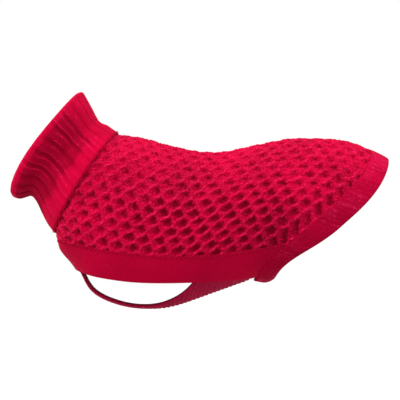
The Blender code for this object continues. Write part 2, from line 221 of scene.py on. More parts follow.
class Spline:
    """A natural cubic spline through rows of values at rising knots."""

    def __init__(self, knots: Sequence[float] | Grid, values: Sequence[Sequence[float]]) -> None:
        """Solves the bends at the knots.

        Args:
            knots: Rising places of the rows.
            values: One row of values for each knot.
        """
        self.knots = np.asarray(knots, float)
        self.values = np.asarray(values, float)
        count = len(self.knots)
        self.step = np.diff(self.knots)
        slope = np.diff(self.values, axis=0) / self.step[:, None]
        matrix = np.eye(count)
        right = np.zeros_like(self.values)
        for i in range(1, count - 1):
            matrix[i, i - 1 : i + 2] = self.step[i - 1], 2 * (self.step[i - 1] + self.step[i]), self.step[i]
            right[i] = 6 * (slope[i] - slope[i - 1])
        self.bend = np.linalg.solve(matrix, right)

    def __call__(self, place: float | Grid) -> Grid:
        """Rows of values at places.

        Args:
            place: One place or an array of them.

        Returns:
            One row for each place.
        """
        place = np.atleast_1d(np.asarray(place, float))
        i = np.clip(np.searchsorted(self.knots, place, side="right") - 1, 0, len(self.knots) - 2)
        h = self.step[i][:, None]
        a = (self.knots[i + 1] - place)[:, None] / h
        b = 1 - a
        curve = (a**3 - a) * self.bend[i] + (b**3 - b) * self.bend[i + 1]
        return a * self.values[i] + b * self.values[i + 1] + curve * h**2 / 6


def mean_run(first: Sequence[tuple[float, float]], second: Sequence[tuple[float, float]]) -> Grid:
    """Running mean of the distances along two lists of points.

    Args:
        first: Points of one line.
        second: As many points of another.

    Returns:
        The distance from the start at each point.
    """
    steps = np.linalg.norm(np.diff(first, axis=0), axis=1) + np.linalg.norm(np.diff(second, axis=0), axis=1)
    return np.concatenate([[0.0], np.cumsum(steps / 2)])


def run_of(points: Grid, axis: int = 0) -> Grid:
    """Distances along lines of points.

    Args:
        points: Points, with their coordinates last.
        axis: The axis that the lines run along.

    Returns:
        The distance from each line's start, for each point.
    """
    steps = np.linalg.norm(np.diff(points, axis=axis), axis=-1)
    pad = [(0, 0)] * steps.ndim
    pad[axis] = (1, 0)
    return np.cumsum(np.pad(steps, pad), axis=axis)


def normals_of(surface: Callable[[Grid, Grid], Grid], first: Grid, second: Grid) -> Grid:
    """Unit normals of a surface of two parameters, turned away from its middle.

    Args:
        surface: Gives points for both parameters.
        first: The first parameter, in millimetres.
        second: The second parameter, an angle.

    Returns:
        One normal for each pair.
    """
    along = surface(first + SMALL_RUN, second) - surface(first - SMALL_RUN, second)
    across = surface(first, second + SMALL_TURN) - surface(first, second - SMALL_TURN)
    normal = np.cross(along, across)
    return normal / np.linalg.norm(normal, axis=-1, keepdims=True)


def turning_point(near: Grid, far: Grid, holds: Callable[[Grid], Grid]) -> Grid:
    """Where a test that holds at the near values stops holding, found by halving.

    Args:
        near: Values at which it holds.
        far: Values past the turn.
        holds: The test.

    Returns:
        The value at each turn.
    """
    for _ in range(HALVINGS):
        middle = (near + far) / 2
        held = holds(middle)
        near, far = np.where(held, middle, near), np.where(held, far, middle)
    return (near + far) / 2


def rise(value: Grid, start: float, end: float, low: float = 0.0) -> Grid:
    """A straight rise from 0 at the start to 1 at the end, never under a low share."""
    return np.clip((value - start) / (end - start), low, 1)


def steps_in(length: float, spacing: float) -> int:
    """How many steps of about a spacing a length takes, as whole coarse steps."""
    return COARSE_STEP * round(length / spacing / COARSE_STEP)


def shares(length: float, spacing: float) -> Grid:
    """Shares of a length from 0 to 1, evenly apart but closer together at both ends.

    Args:
        length: The length.
        spacing: The usual distance between two.

    Returns:
        The shares, whose steps are whole coarse steps.
    """
    *ends, margin = RIM_PLACES
    inside = max(1, round((length - 2 * margin) / spacing))
    inside += -(inside + 2 * len(ends)) % COARSE_STEP
    middle = np.linspace(margin, length - margin, inside + 1)
    return np.concatenate([ends, middle, [length - value for value in ends[::-1]]]) / length


def both_ways(half: Grid) -> Grid:
    """Shares from minus one to one, from those of one half."""
    return np.concatenate([-half[:0:-1], half])


def both_sides(station: Grid, right: Grid) -> tuple[Grid, Grid]:
    """Carries rows of the right side on round the chest.

    Args:
        station: Stations from the chest to the rear.
        right: Their angles on the right side.

    Returns:
        Stations and angles from the left rear round the chest to the right rear.
    """
    left = FULL_TURN - right[::-1]
    return np.concatenate([station[::-1], station[1:]]), np.concatenate([left, right[1:]])


def quads_of(ids: Grid) -> Grid:
    """The four corners of each square of a grid of numbers."""
    return np.stack([ids[:-1, :-1], ids[:-1, 1:], ids[1:, 1:], ids[1:, :-1]], -1).reshape(-1, 4)


@dataclass(frozen=True)
class CollarForm:
    """The collar's own form: distances from the fold, and angles round the neck from the nape."""

    wall: float = 2.2
    neck_seam_ring: float = 4.6
    press_depth: float = 1.5
    press_from: float = 2 / 3
    under_gap: float = 1.0
    under_rows: int = 3
    rings: tuple[CollarRing, ...] = tuple(COLLAR_RINGS)

    def places(self) -> Grid:
        """Where the rings lie.

        Returns:
            Each ring's distance from the fold.
        """
        napes = [(ring.nape_x, ring.nape_z) for ring in self.rings]
        throats = [(ring.throat_x, ring.throat_z) for ring in self.rings]
        return mean_run(napes, throats)

    def length(self) -> float:
        """The outer layer's length from the fold to its free edge."""
        return float(self.places()[-1])

    def press(self, place: Grid | float, angle: Grid) -> Grid:
        """How far the outer layer's free end is pressed down at the nape and at the throat."""
        near_end = rise(np.asarray(place) / self.length(), self.press_from, 1)
        return self.press_depth * np.cos(angle) ** 2 * near_end

    def neck_seam(self) -> float:
        """The seam's distance from the fold."""
        return float(np.interp(self.neck_seam_ring, range(len(self.rings)), self.places()))

    def face(self, place: Grid, angle: Grid) -> Grid:
        """The outer face.

        Args:
            place: Distances from the fold.
            angle: Angles round the neck.

        Returns:
            A point for each pair.
        """
        places = self.places()
        row = CollarRing(*Spline(places, self.rings)(np.clip(place, 0, places[-1])).T)
        half_x = (row.nape_x - row.throat_x) / 2
        half_z = (row.nape_z - row.throat_z) / 2
        half = np.hypot(half_x, half_z)
        up = row.bulge * np.sin(angle) ** 2 * (1 - 2 * np.cos(angle))
        x = row.throat_x + half_x * (1 + np.cos(angle)) - up * half_z / half
        z = row.throat_z + half_z * (1 + np.cos(angle)) + up * half_x / half
        return np.stack([x, row.half_width * np.sin(angle), z], axis=-1)

    def point(self, place: Grid, depth: Grid, angle: Grid) -> tuple[Grid, Grid]:
        """Points under the outer face.

        Args:
            place: Distances from the fold, negative past it.
            depth: Distances under the outer face.
            angle: Angles round the neck.

        Returns:
            The points and the outer face's normals at them.
        """
        held = np.clip(place, 2 * SMALL_RUN, self.length() - 2 * SMALL_RUN)
        normal = normals_of(self.face, held, angle)
        onward = self.face(held + SMALL_RUN, angle) - self.face(held - SMALL_RUN, angle)
        onward /= np.linalg.norm(onward, axis=-1, keepdims=True)
        return self.face(held, angle) + onward * (place - held)[:, None] - normal * depth[:, None], normal

    def sections_under(self) -> list[Section]:
        """The body's first sections, where the collar lies over it.

        Returns:
            The sections, just clear of the collar's inside.
        """
        around = np.array([0.0, HALF_TURN, WIDEST_ANGLE])
        under = np.full_like(around, self.wall + self.under_gap)
        found = []
        for place in np.linspace(self.neck_seam(), self.length() - 2 * SMALL_RUN, self.under_rows):
            nape, throat, side = self.point(np.full_like(around, place), under, around)[0]
            found.append(Section(nape[0], nape[2], throat[0], throat[2], side[1]))
        return found


class GarmentForm:
    """The form that all the cloth behind the neck seam follows."""

    def __init__(self, collar: CollarForm) -> None:
        """Lays the sections along the garment.

        Args:
            collar: The collar, whose inside the first sections follow.
        """
        sections = collar.sections_under() + SECTIONS
        backs = [(section.back_x, section.back_z) for section in sections]
        bellies = [(section.belly_x, section.belly_z) for section in sections]
        self.stations = mean_run(backs, bellies)
        self.section_at = Spline(self.stations, sections)
        self.rear_seam = float(self.stations[REAR_SEAM_ROW])
        self.rear_edge = float(self.stations[-1])

    def smooth(self, station: Grid, angle: Grid) -> Grid:
        """The outer face of the cloth before its creases.

        Args:
            station: Stations.
            angle: Angles.

        Returns:
            A point for each pair.
        """
        row = Section(*self.section_at(station).T)
        cosine, sine = np.cos(angle), np.sin(angle)
        power = np.where(cosine < 0, row.low_power, row.high_power)
        along = np.sign(cosine) * np.abs(cosine) ** (2 / power)
        across = np.sign(sine) * np.abs(sine) ** (2 / power)
        half_x = (row.back_x - row.belly_x) / 2
        half_z = (row.back_z - row.belly_z) / 2
        chord = np.hypot(half_x, half_z)
        out = sine**2 * (row.bow + row.skew * cosine)
        out -= np.where(cosine < 0, row.tuck * np.sin(2 * angle) ** 2, 0)
        x = row.belly_x + half_x * (1 + along) + out * half_z / chord
        z = row.belly_z + half_z * (1 + along) - out * half_x / chord
        return np.stack([x, row.half_width * across * (1 - row.pear * along), z], axis=-1)

    def crease_depth(self, points: Grid) -> Grid:
        """How far points sink into the creases of their side.

        Args:
            points: Points of the smooth form.

        Returns:
            A depth for each point.
        """
        depth = np.zeros(len(points))
        for crease in CREASES:
            start = np.array([crease.start_x, crease.start_z])
            run = np.array([crease.end_x, crease.end_z]) - start
            flat = points[:, [0, 2]] - start
            share = np.clip(flat @ run / (run @ run), 0, 1)
            away = np.linalg.norm(flat - share[:, None] * run, axis=1)
            fade = np.sin(HALF_TURN * np.clip(share, CREASE_END_SHARE, 1 - CREASE_END_SHARE))
            trough = crease.depth * fade * np.exp(-((away / crease.width) ** 2))
            depth += np.where(points[:, 1] * crease.side > 0, trough, 0)
        return depth

    def face(self, station: Grid, angle: Grid, out: float = 0.0) -> tuple[Grid, Grid]:
        """The cloth's outer face, moved out by a distance.

        Args:
            station: Stations.
            angle: Angles.
            out: The distance, the same for all.

        Returns:
            Points and unit normals, in the grid of the stations.
        """
        shape = np.broadcast(station, angle).shape
        station = np.broadcast_to(station, shape).ravel()
        angle = np.broadcast_to(angle, shape).ravel()
        points = self.smooth(station, angle)
        normal = normals_of(self.smooth, station, angle)
        points = points + normal * (out - self.crease_depth(points))[:, None]
        return points.reshape(*shape, 3), normal.reshape(*shape, 3)

    def wall(self, station: Grid, angle: Grid, out: float, thickness: float) -> tuple[Grid, Grid, Grid]:
        """A wall of cloth on the form.

        Args:
            station: Stations.
            angle: Angles.
            out: How far out its outer face lies.
            thickness: Its thickness.

        Returns:
            The outer face, its normals and the inner face.
        """
        outer, outward = self.face(station, angle, out)
        return outer, outward, self.face(station, angle, out - thickness)[0]

    def angle_on_line(self, station: Grid, line: Sequence[LinePoint]) -> Grid:
        """Angles where sections cross a line drawn on the side view, half a turn where they never do.

        Args:
            station: Stations.
            line: The line's points.

        Returns:
            An angle for each station.
        """
        height = Spline([point.x for point in line], [[point.z] for point in line])

        def is_above(angle: Grid) -> Grid:
            """Whether the form is above the line at an angle of each section."""
            point = self.smooth(station, angle)
            return point[:, 2] > height(point[:, 0])[:, 0]

        near, far = np.full(len(station), WIDEST_ANGLE), np.full(len(station), HALF_TURN)
        return np.where(is_above(far), HALF_TURN, turning_point(near, far, is_above))

    def chest_station(self, line: Sequence[LinePoint]) -> float:
        """The station where a line on the side view meets the front of the chest.

        Args:
            line: The line's points.

        Returns:
            The station.
        """

        def is_whole(station: Grid) -> Grid:
            """Whether the section at a station is above the line all round."""
            return self.angle_on_line(station, line) == HALF_TURN

        return float(turning_point(np.zeros(1), np.full(1, self.rear_seam / 2), is_whole)[0])

    def edge(self, line: Sequence[LinePoint], count: int) -> tuple[Grid, Grid]:
        """Places evenly along a line, from the front of the chest to the rear seam.

        Args:
            line: The line's points.
            count: How many places.

        Returns:
            Their stations and their angles on the right side.
        """
        start = self.chest_station(line)
        station = start + (self.rear_seam - start) * np.linspace(0, 1, LINE_PLACES) ** 2
        angle = self.angle_on_line(station, line)
        angle[0] = HALF_TURN
        length = run_of(self.smooth(station, angle))
        even = np.interp(np.linspace(0, length[-1], count), length, station)
        even[0], even[-1] = start, self.rear_seam
        angle = self.angle_on_line(even, line)
        angle[0] = HALF_TURN
        return even, angle


class Term:
    """A node's output that arithmetic can be written on."""

    def __init__(self, graph: "Graph", socket: bpy.types.NodeSocket) -> None:
        """Keeps the output and its tree."""
        self.graph = graph
        self.socket = socket

    def __add__(self, other: "Term | float") -> "Term":
        """The sum."""
        return self.graph.math("ADD", self, other)

    def __sub__(self, other: "Term | float") -> "Term":
        """The difference."""
        return self.graph.math("SUBTRACT", self, other)

    def __rsub__(self, other: float) -> "Term":
        """A number less this."""
        return self.graph.math("SUBTRACT", other, self)

    def __mul__(self, other: "Term | float") -> "Term":
        """The product."""
        return self.graph.math("MULTIPLY", self, other)

    def __truediv__(self, other: "Term | float") -> "Term":
        """The quotient."""
        return self.graph.math("DIVIDE", self, other)

    def size(self) -> "Term":
        """The value without its sign."""
        return self.graph.math("ABSOLUTE", self)

    def nearest(self) -> "Term":
        """The nearest whole number."""
        return self.graph.math("ROUND", self)

    def fraction(self) -> "Term":
        """What is left above the next lower whole number."""
        return self.graph.math("FRACT", self)


class Graph:
    """A node tree under construction, for shaders and for geometry alike."""

    def __init__(self, tree: bpy.types.NodeTree) -> None:
        """Keeps the tree."""
        self.tree = tree

    def node(self, kind: str, inputs: Inputs = None, **settings: object) -> bpy.types.Node:
        """Adds a node.

        Args:
            kind: The node's type.
            inputs: What each named or numbered input holds or is linked to.
            settings: The node's own properties.

        Returns:
            The new node.
        """
        node = self.tree.nodes.new(kind)
        for name, value in settings.items():
            setattr(node, name, value)
        for key, value in (inputs or {}).items():
            if isinstance(value, Term):
                self.tree.links.new(value.socket, node.inputs[key])
            else:
                node.inputs[key].default_value = value
        return node

    def term(self, kind: str, inputs: Inputs = None, output: int | str = 0, **settings: object) -> Term:
        """Adds a node for one of its outputs.

        Args:
            kind: The node's type.
            inputs: What each input holds or is linked to.
            output: The output that is wanted.
            settings: The node's own properties.

        Returns:
            That output.
        """
        return Term(self, self.node(kind, inputs, **settings).outputs[output])

    def math(self, operation: str, *values: "Term | float") -> Term:
        """Adds a node that works out numbers."""
        return self.term("ShaderNodeMath", dict(enumerate(values)), operation=operation)

    def ramp(self, value: Term, start: float, end: float, low: float = 0.0, high: float = 1.0) -> Term:
        """A smooth step of a value.

        Args:
            value: The value.
            start: Where the step starts.
            end: Where it ends.
            low: The result before it.
            high: The result after it.

        Returns:
            The result.
        """
        inputs = {0: value, 1: start, 2: end, 3: low, 4: high}
        return self.term("ShaderNodeMapRange", inputs, interpolation_type="SMOOTHSTEP")

    def bell(self, value: Term, width: "Term | float") -> Term:
        """A bell curve of a value, one at its middle."""
        share = value / width
        return self.math("POWER", math.e, share * share * -1.0)

    def vector(self, x: "Term | float", z: "Term | float" = 0.0) -> Term:
        """A vector of its length and its height."""
        return self.term("ShaderNodeCombineXYZ", {0: x, 2: z})

    def noise(self, vector: Term, scale: float, detail: float = 2.0) -> Term:
        """Smooth noise about one half.

        Args:
            vector: Where it is read.
            scale: Its lumps to a unit.
            detail: Its finer layers.

        Returns:
            The noise.
        """
        return self.term("ShaderNodeTexNoise", {"Vector": vector, "Scale": scale, "Detail": detail})

    def mix(self, share: Term, first: "Term | Colour", second: "Term | Colour") -> Term:
        """A mix of two colours.

        Args:
            share: The second one's share.
            first: The first colour.
            second: The second colour.

        Returns:
            The mixed colour.
        """
        return self.term("ShaderNodeMix", {0: share, 6: first, 7: second}, output=2, data_type="RGBA")


class Ease(NamedTuple):
    """A smooth step: where it starts and ends, and the values before and after it."""

    start: float
    end: float
    low: float = 0.0
    high: float = 1.0


class Loops(Enum):
    """How a knit's loops lie on its face."""

    PLAIN = "plain"
    RIBBED = "ribbed"
    CROSSED = "crossed"


# The mottle's ease: random tone, with painted shade between the loops.
MOTTLE_AND_LOOP_SHADE = Ease(-0.13, 0.1)
SPECK_EDGE = Ease(0.5, 0.62)
# Painted shade: how far the pit attribute mixes in the dark colour.
HOLLOW_SHADE = Ease(0.25, 0.95, 0.0, 0.65)
CROSSED_PATCH = Ease(0.47, 0.62, 0.15, 1.0)


@dataclass(frozen=True)
class KnitFinish:
    """The look of a knitted cloth: its dye, its loops, its nap, and its painted highlight and painted shade.
    """

    name: str
    # lit and deep are the ends of the dye's mottle, which is random tone with painted shade between the
    # loops.
    lit: Colour
    deep: Colour
    # The light colour of the nap's random specks and of the painted highlight on crests.
    nap: Colour
    wale: float
    course: float
    loops: Loops
    loop_rise: float
    mottle: float = 0.4
    specks: float = 0.3
    fuzz_rise: float = 0.5
    sheen: float = 0.08
    # The dark colour of painted shade in pits, grooves and shaded parts.
    hollow: Colour = dye(84, 0, 12)
    rim: Colour = dye(235, 120, 150)
    roughness: float = 0.9
    gloss: float = 0.02
    rim_softness: float = 0.3
    fuzz_scale: float = 560.0
    speck_scale: float = 520.0
    patch_scale: float = 16.0
    patch_share: float = 0.35
    # The loops' share of the mottle: painted shade between the loops.
    loop_share: float = 0.25
    plain_speck_share: float = 0.35
    # How far random specks break up the painted highlight on crests.
    highlight_speck_share: float = 0.75
    loop_slant: float = 0.55
    plain_leg_share: float = 0.6
    ribbed_leg_share: float = 0.75
    crossed_loop_share: float = 0.45
    crossed_scale: float = 0.055
    crossed_stretch: float = 0.25

    def loop_height(self, graph: Graph, across: Term, along: Term) -> Term:
        """The height of the loops.

        Args:
            graph: The material's nodes.
            across: Millimetres across the wales.
            along: Millimetres along the wales.

        Returns:
            A height from 0 to about 1.
        """
        side = ((across / self.wale).fraction() - 0.5).size() * 2.0
        leg = 1.0 - (side * 2.0 - 1.0).size()
        turn = ((along / self.course + side * self.loop_slant).fraction() - 0.5).size() * 2.0
        leg_share = self.ribbed_leg_share if self.loops is Loops.RIBBED else self.plain_leg_share
        loop = leg * leg_share + (1.0 - turn * turn) * (1.0 - leg_share)
        if self.loops is not Loops.CROSSED:
            return loop
        patch = graph.term("ShaderNodeCombineXYZ", {0: across, 1: along * self.crossed_stretch})
        strength = graph.ramp(graph.noise(patch, self.crossed_scale, detail=1.0), *CROSSED_PATCH)
        return loop * self.crossed_loop_share + (1.0 - side * side) * strength

    def colour(self, graph: Graph, place: Term, loops: Term, fuzz: Term) -> Term:
        """The dye: mottled, with random light specks of nap, a painted highlight on its crests and painted
        shade in its pits and grooves.

        Args:
            graph: The material's nodes.
            place: Where the cloth is.
            loops: The height of the loops.
            fuzz: The yarn's fuzz, about one half.

        Returns:
            The colour.
        """
        patches = (graph.noise(place, self.patch_scale, detail=3.0) - 0.5) * self.patch_share
        # Patches and fuzz are random tone; the loops' share is painted shade, darker between the loops.
        mottle = patches + (fuzz - 0.5) * self.mottle + (loops - 0.5) * self.loop_share
        colour = graph.mix(graph.ramp(mottle, *MOTTLE_AND_LOOP_SHADE), self.deep, self.lit)
        pit = graph.term("ShaderNodeAttribute", output="Fac", attribute_name=PAINTED_SHADE)
        crest = graph.term("ShaderNodeAttribute", output="Fac", attribute_name=PAINTED_HIGHLIGHT)
        specks = graph.ramp(graph.noise(place, self.speck_scale), *SPECK_EDGE)
        # Painted highlight on the crests in the nap's colour, with random specks of nap everywhere.
        crest_highlight = crest * (specks * self.highlight_speck_share + (1 - self.highlight_speck_share))
        specks_and_highlight = graph.math("MAXIMUM", specks * (self.specks * self.plain_speck_share), crest_highlight)
        colour = graph.mix(specks_and_highlight, colour, self.nap)
        # Painted shade: the dark colour mixed in by the pit attribute.
        return graph.mix(graph.ramp(pit, *HOLLOW_SHADE), colour, self.hollow)

    def material(self) -> bpy.types.Material:
        """The material.

        Returns:
            A material that reads the cloth's own coordinates and marks.
        """
        material = bpy.data.materials.new(self.name)
        material.use_nodes = True
        graph = Graph(material.node_tree)
        shader = material.node_tree.nodes["Principled BSDF"]
        split = graph.node("ShaderNodeSeparateXYZ", {0: graph.term("ShaderNodeUVMap", uv_map=UV_NAME)})
        place = graph.term("ShaderNodeTexCoord", output="Object")
        loops = self.loop_height(graph, Term(graph, split.outputs[0]), Term(graph, split.outputs[1]))
        fuzz = graph.noise(place, self.fuzz_scale, detail=3.0)
        height = loops * self.loop_rise + fuzz * self.fuzz_rise
        bump = graph.term("ShaderNodeBump", {"Height": height, "Distance": MM, "Strength": 1.0})
        links = {"Base Color": self.colour(graph, place, loops, fuzz), "Normal": bump}
        for label, value in links.items():
            graph.tree.links.new(value.socket, shader.inputs[label])
        settings = {
            "Roughness": self.roughness,
            "Specular IOR Level": self.gloss,
            "Sheen Weight": self.sheen,
            "Sheen Roughness": self.rim_softness,
            "Sheen Tint": self.rim,
        }
        for label, value in settings.items():
            shader.inputs[label].default_value = value
        return material


HONEYCOMB_KNIT = KnitFinish(
    "honeycomb_knit",
    lit=dye(194, 0, 50),
    deep=dye(132, 0, 31),
    nap=dye(230, 30, 88),
    wale=2.45,
    course=1.95,
    loops=Loops.PLAIN,
    loop_rise=0.9,
    specks=1.0,
    fuzz_rise=1.9,
)
RIB_COLLAR = KnitFinish(
    "rib_collar",
    lit=dye(171, 0, 42),
    deep=dye(142, 0, 33),
    nap=dye(226, 28, 92),
    wale=2.9,
    course=1.5,
    loops=Loops.RIBBED,
    loop_rise=0.25,
    mottle=0.12,
    specks=0.1,
    fuzz_rise=0.15,
    sheen=0.04,
)
FINE_BAND = KnitFinish(
    "fine_band",
    lit=dye(162, 0, 41),
    deep=dye(138, 0, 34),
    nap=dye(200, 40, 80),
    wale=1.3,
    course=1.1,
    loops=Loops.PLAIN,
    loop_rise=0.12,
    mottle=0.2,
    specks=0.1,
)
REAR_EDGING = KnitFinish(
    "rear_edging",
    lit=dye(166, 0, 45),
    deep=dye(140, 0, 35),
    nap=dye(202, 32, 82),
    wale=1.7,
    course=1.4,
    loops=Loops.CROSSED,
    loop_rise=0.25,
)
BELLY_RIB = KnitFinish(
    "belly_rib",
    lit=dye(152, 10, 50),
    deep=dye(120, 5, 38),
    nap=dye(178, 46, 76),
    wale=2.2,
    course=1.2,
    loops=Loops.RIBBED,
    loop_rise=0.3,
)
SEAM_YARN = KnitFinish(
    "seam_yarn",
    lit=dye(186, 6, 50),
    deep=dye(150, 1, 34),
    nap=dye(214, 40, 86),
    wale=0.6,
    course=0.6,
    loops=Loops.PLAIN,
    loop_rise=0.1,
)


@dataclass(frozen=True)
class Sizes:
    """Sizes that a geometry node tree takes as its named inputs, in millimetres where they are lengths."""

    def inputs(self) -> dict[str, float]:
        """Each size under its input's name."""
        return {name.replace("_", " ").capitalize(): float(value) for name, value in asdict(self).items()}


@dataclass(frozen=True)
class HoneycombSizes(Sizes):
    """The honeycomb's cells, the pits in them and the ridges between them."""

    cell_length: float = 14.7
    row_pitch: float = 9.75
    pit_depth: float = 2.9
    floor: float = -2.3
    pit_tail: float = 10.5
    sill_depth: float = 0.3
    drop_width: float = 3.2
    ridge_height: float = 0.9
    ridge_width: float = 0.9
    raggedness: float = 6.5
    lumps: float = 2.4
    unevenness: float = 0.16
    seed: float = 7.0


@dataclass(frozen=True)
class RibSizes(Sizes):
    """Ribs, the wales on them, and how far the painted shade in their grooves and the painted highlights on
    their wales and lines change the dye.
    """

    rib_height: float
    unevenness: float
    shoulder: float = 0.5
    wales: float = 1.0
    wale_height: float = 0.0
    wale_shine: float = 0.0
    patchiness: float = 0.0
    line_place: float = 0.1
    line_shine: float = 0.0
    groove_shade: float = 0.12


@dataclass(frozen=True)
class StitchSizes(Sizes):
    """One stitch of a seam, and how far it leans, in radians."""

    stitch_length: float
    rise: float
    yarn_radius: float
    lean: float


class Recipe:
    """A geometry node tree with named sizes, run once on a piece to leave a plain mesh."""

    def __init__(self, name: str, sizes: Sizes, material: bpy.types.Material) -> None:
        """Makes the tree and its inputs.

        Args:
            name: The tree's name.
            sizes: The sizes of what it makes.
            material: The finish of what comes out.
        """
        tree = bpy.data.node_groups.new(name, "GeometryNodeTree")
        for way in ("INPUT", "OUTPUT"):
            tree.interface.new_socket("Geometry", in_out=way, socket_type="NodeSocketGeometry")
        self.sizes: dict[str, float] = {}
        for label, value in sizes.inputs().items():
            socket = tree.interface.new_socket(label, in_out="INPUT", socket_type="NodeSocketFloat")
            self.sizes[socket.identifier] = value
        self.graph = Graph(tree)
        self.entry = self.graph.node("NodeGroupInput")
        self.material = material
        self.build()

    def incoming(self) -> Term:
        """The geometry that comes in."""
        return Term(self.graph, self.entry.outputs[0])

    def size(self, label: str) -> Term:
        """A named input."""
        return Term(self.graph, self.entry.outputs[label])

    def mark(self, label: str, kind: str = "FLOAT") -> Term:
        """A value that the cloth carries at each of its points."""
        return self.graph.term("GeometryNodeInputNamedAttribute", {"Name": label}, data_type=kind)

    def build(self) -> None:
        """Builds the tree, in each kind of recipe."""
        raise NotImplementedError

    def end(self, geometry: Term) -> None:
        """Ends the tree with plain geometry in its material.

        Args:
            geometry: What the tree has made.
        """
        whole = self.graph.term("GeometryNodeRealizeInstances", {0: geometry})
        dressed = self.graph.term("GeometryNodeSetMaterial", {"Geometry": whole, "Material": self.material})
        self.graph.node("NodeGroupOutput", {0: dressed})

    def raised(self, height: Term) -> Term:
        """The incoming cloth with its points moved out along their normals.

        Args:
            height: Millimetres out, before the cloth's own share of relief.

        Returns:
            The moved cloth.
        """
        inputs = {0: self.mark("outward", "FLOAT_VECTOR"), "Scale": height * self.mark("relief") * MM}
        offset = self.graph.term("ShaderNodeVectorMath", inputs, operation="SCALE")
        return self.graph.term("GeometryNodeSetPosition", {"Geometry": self.incoming(), "Offset": offset})

    def keep(self, geometry: Term, label: str, value: Term) -> Term:
        """Stores a value on the cloth for its material."""
        inputs = {"Geometry": geometry, "Name": label, "Value": value}
        return self.graph.term("GeometryNodeStoreNamedAttribute", inputs, data_type="FLOAT", domain="POINT")

    def run(self, piece: bpy.types.Object) -> None:
        """Runs the tree on a piece and leaves the result as its plain mesh.

        Args:
            piece: The piece.
        """
        modifier = piece.modifiers.new(self.graph.tree.name, "NODES")
        modifier.node_group = self.graph.tree
        for identifier, value in self.sizes.items():
            modifier[identifier] = value
        view = bpy.context.evaluated_depsgraph_get()
        shown = piece.evaluated_get(view)
        made = bpy.data.meshes.new_from_object(shown, preserve_all_data_layers=True, depsgraph=view)
        piece.modifiers.remove(modifier)
        rough = piece.data
        piece.data = made
        bpy.data.meshes.remove(rough)
        made.name = piece.name


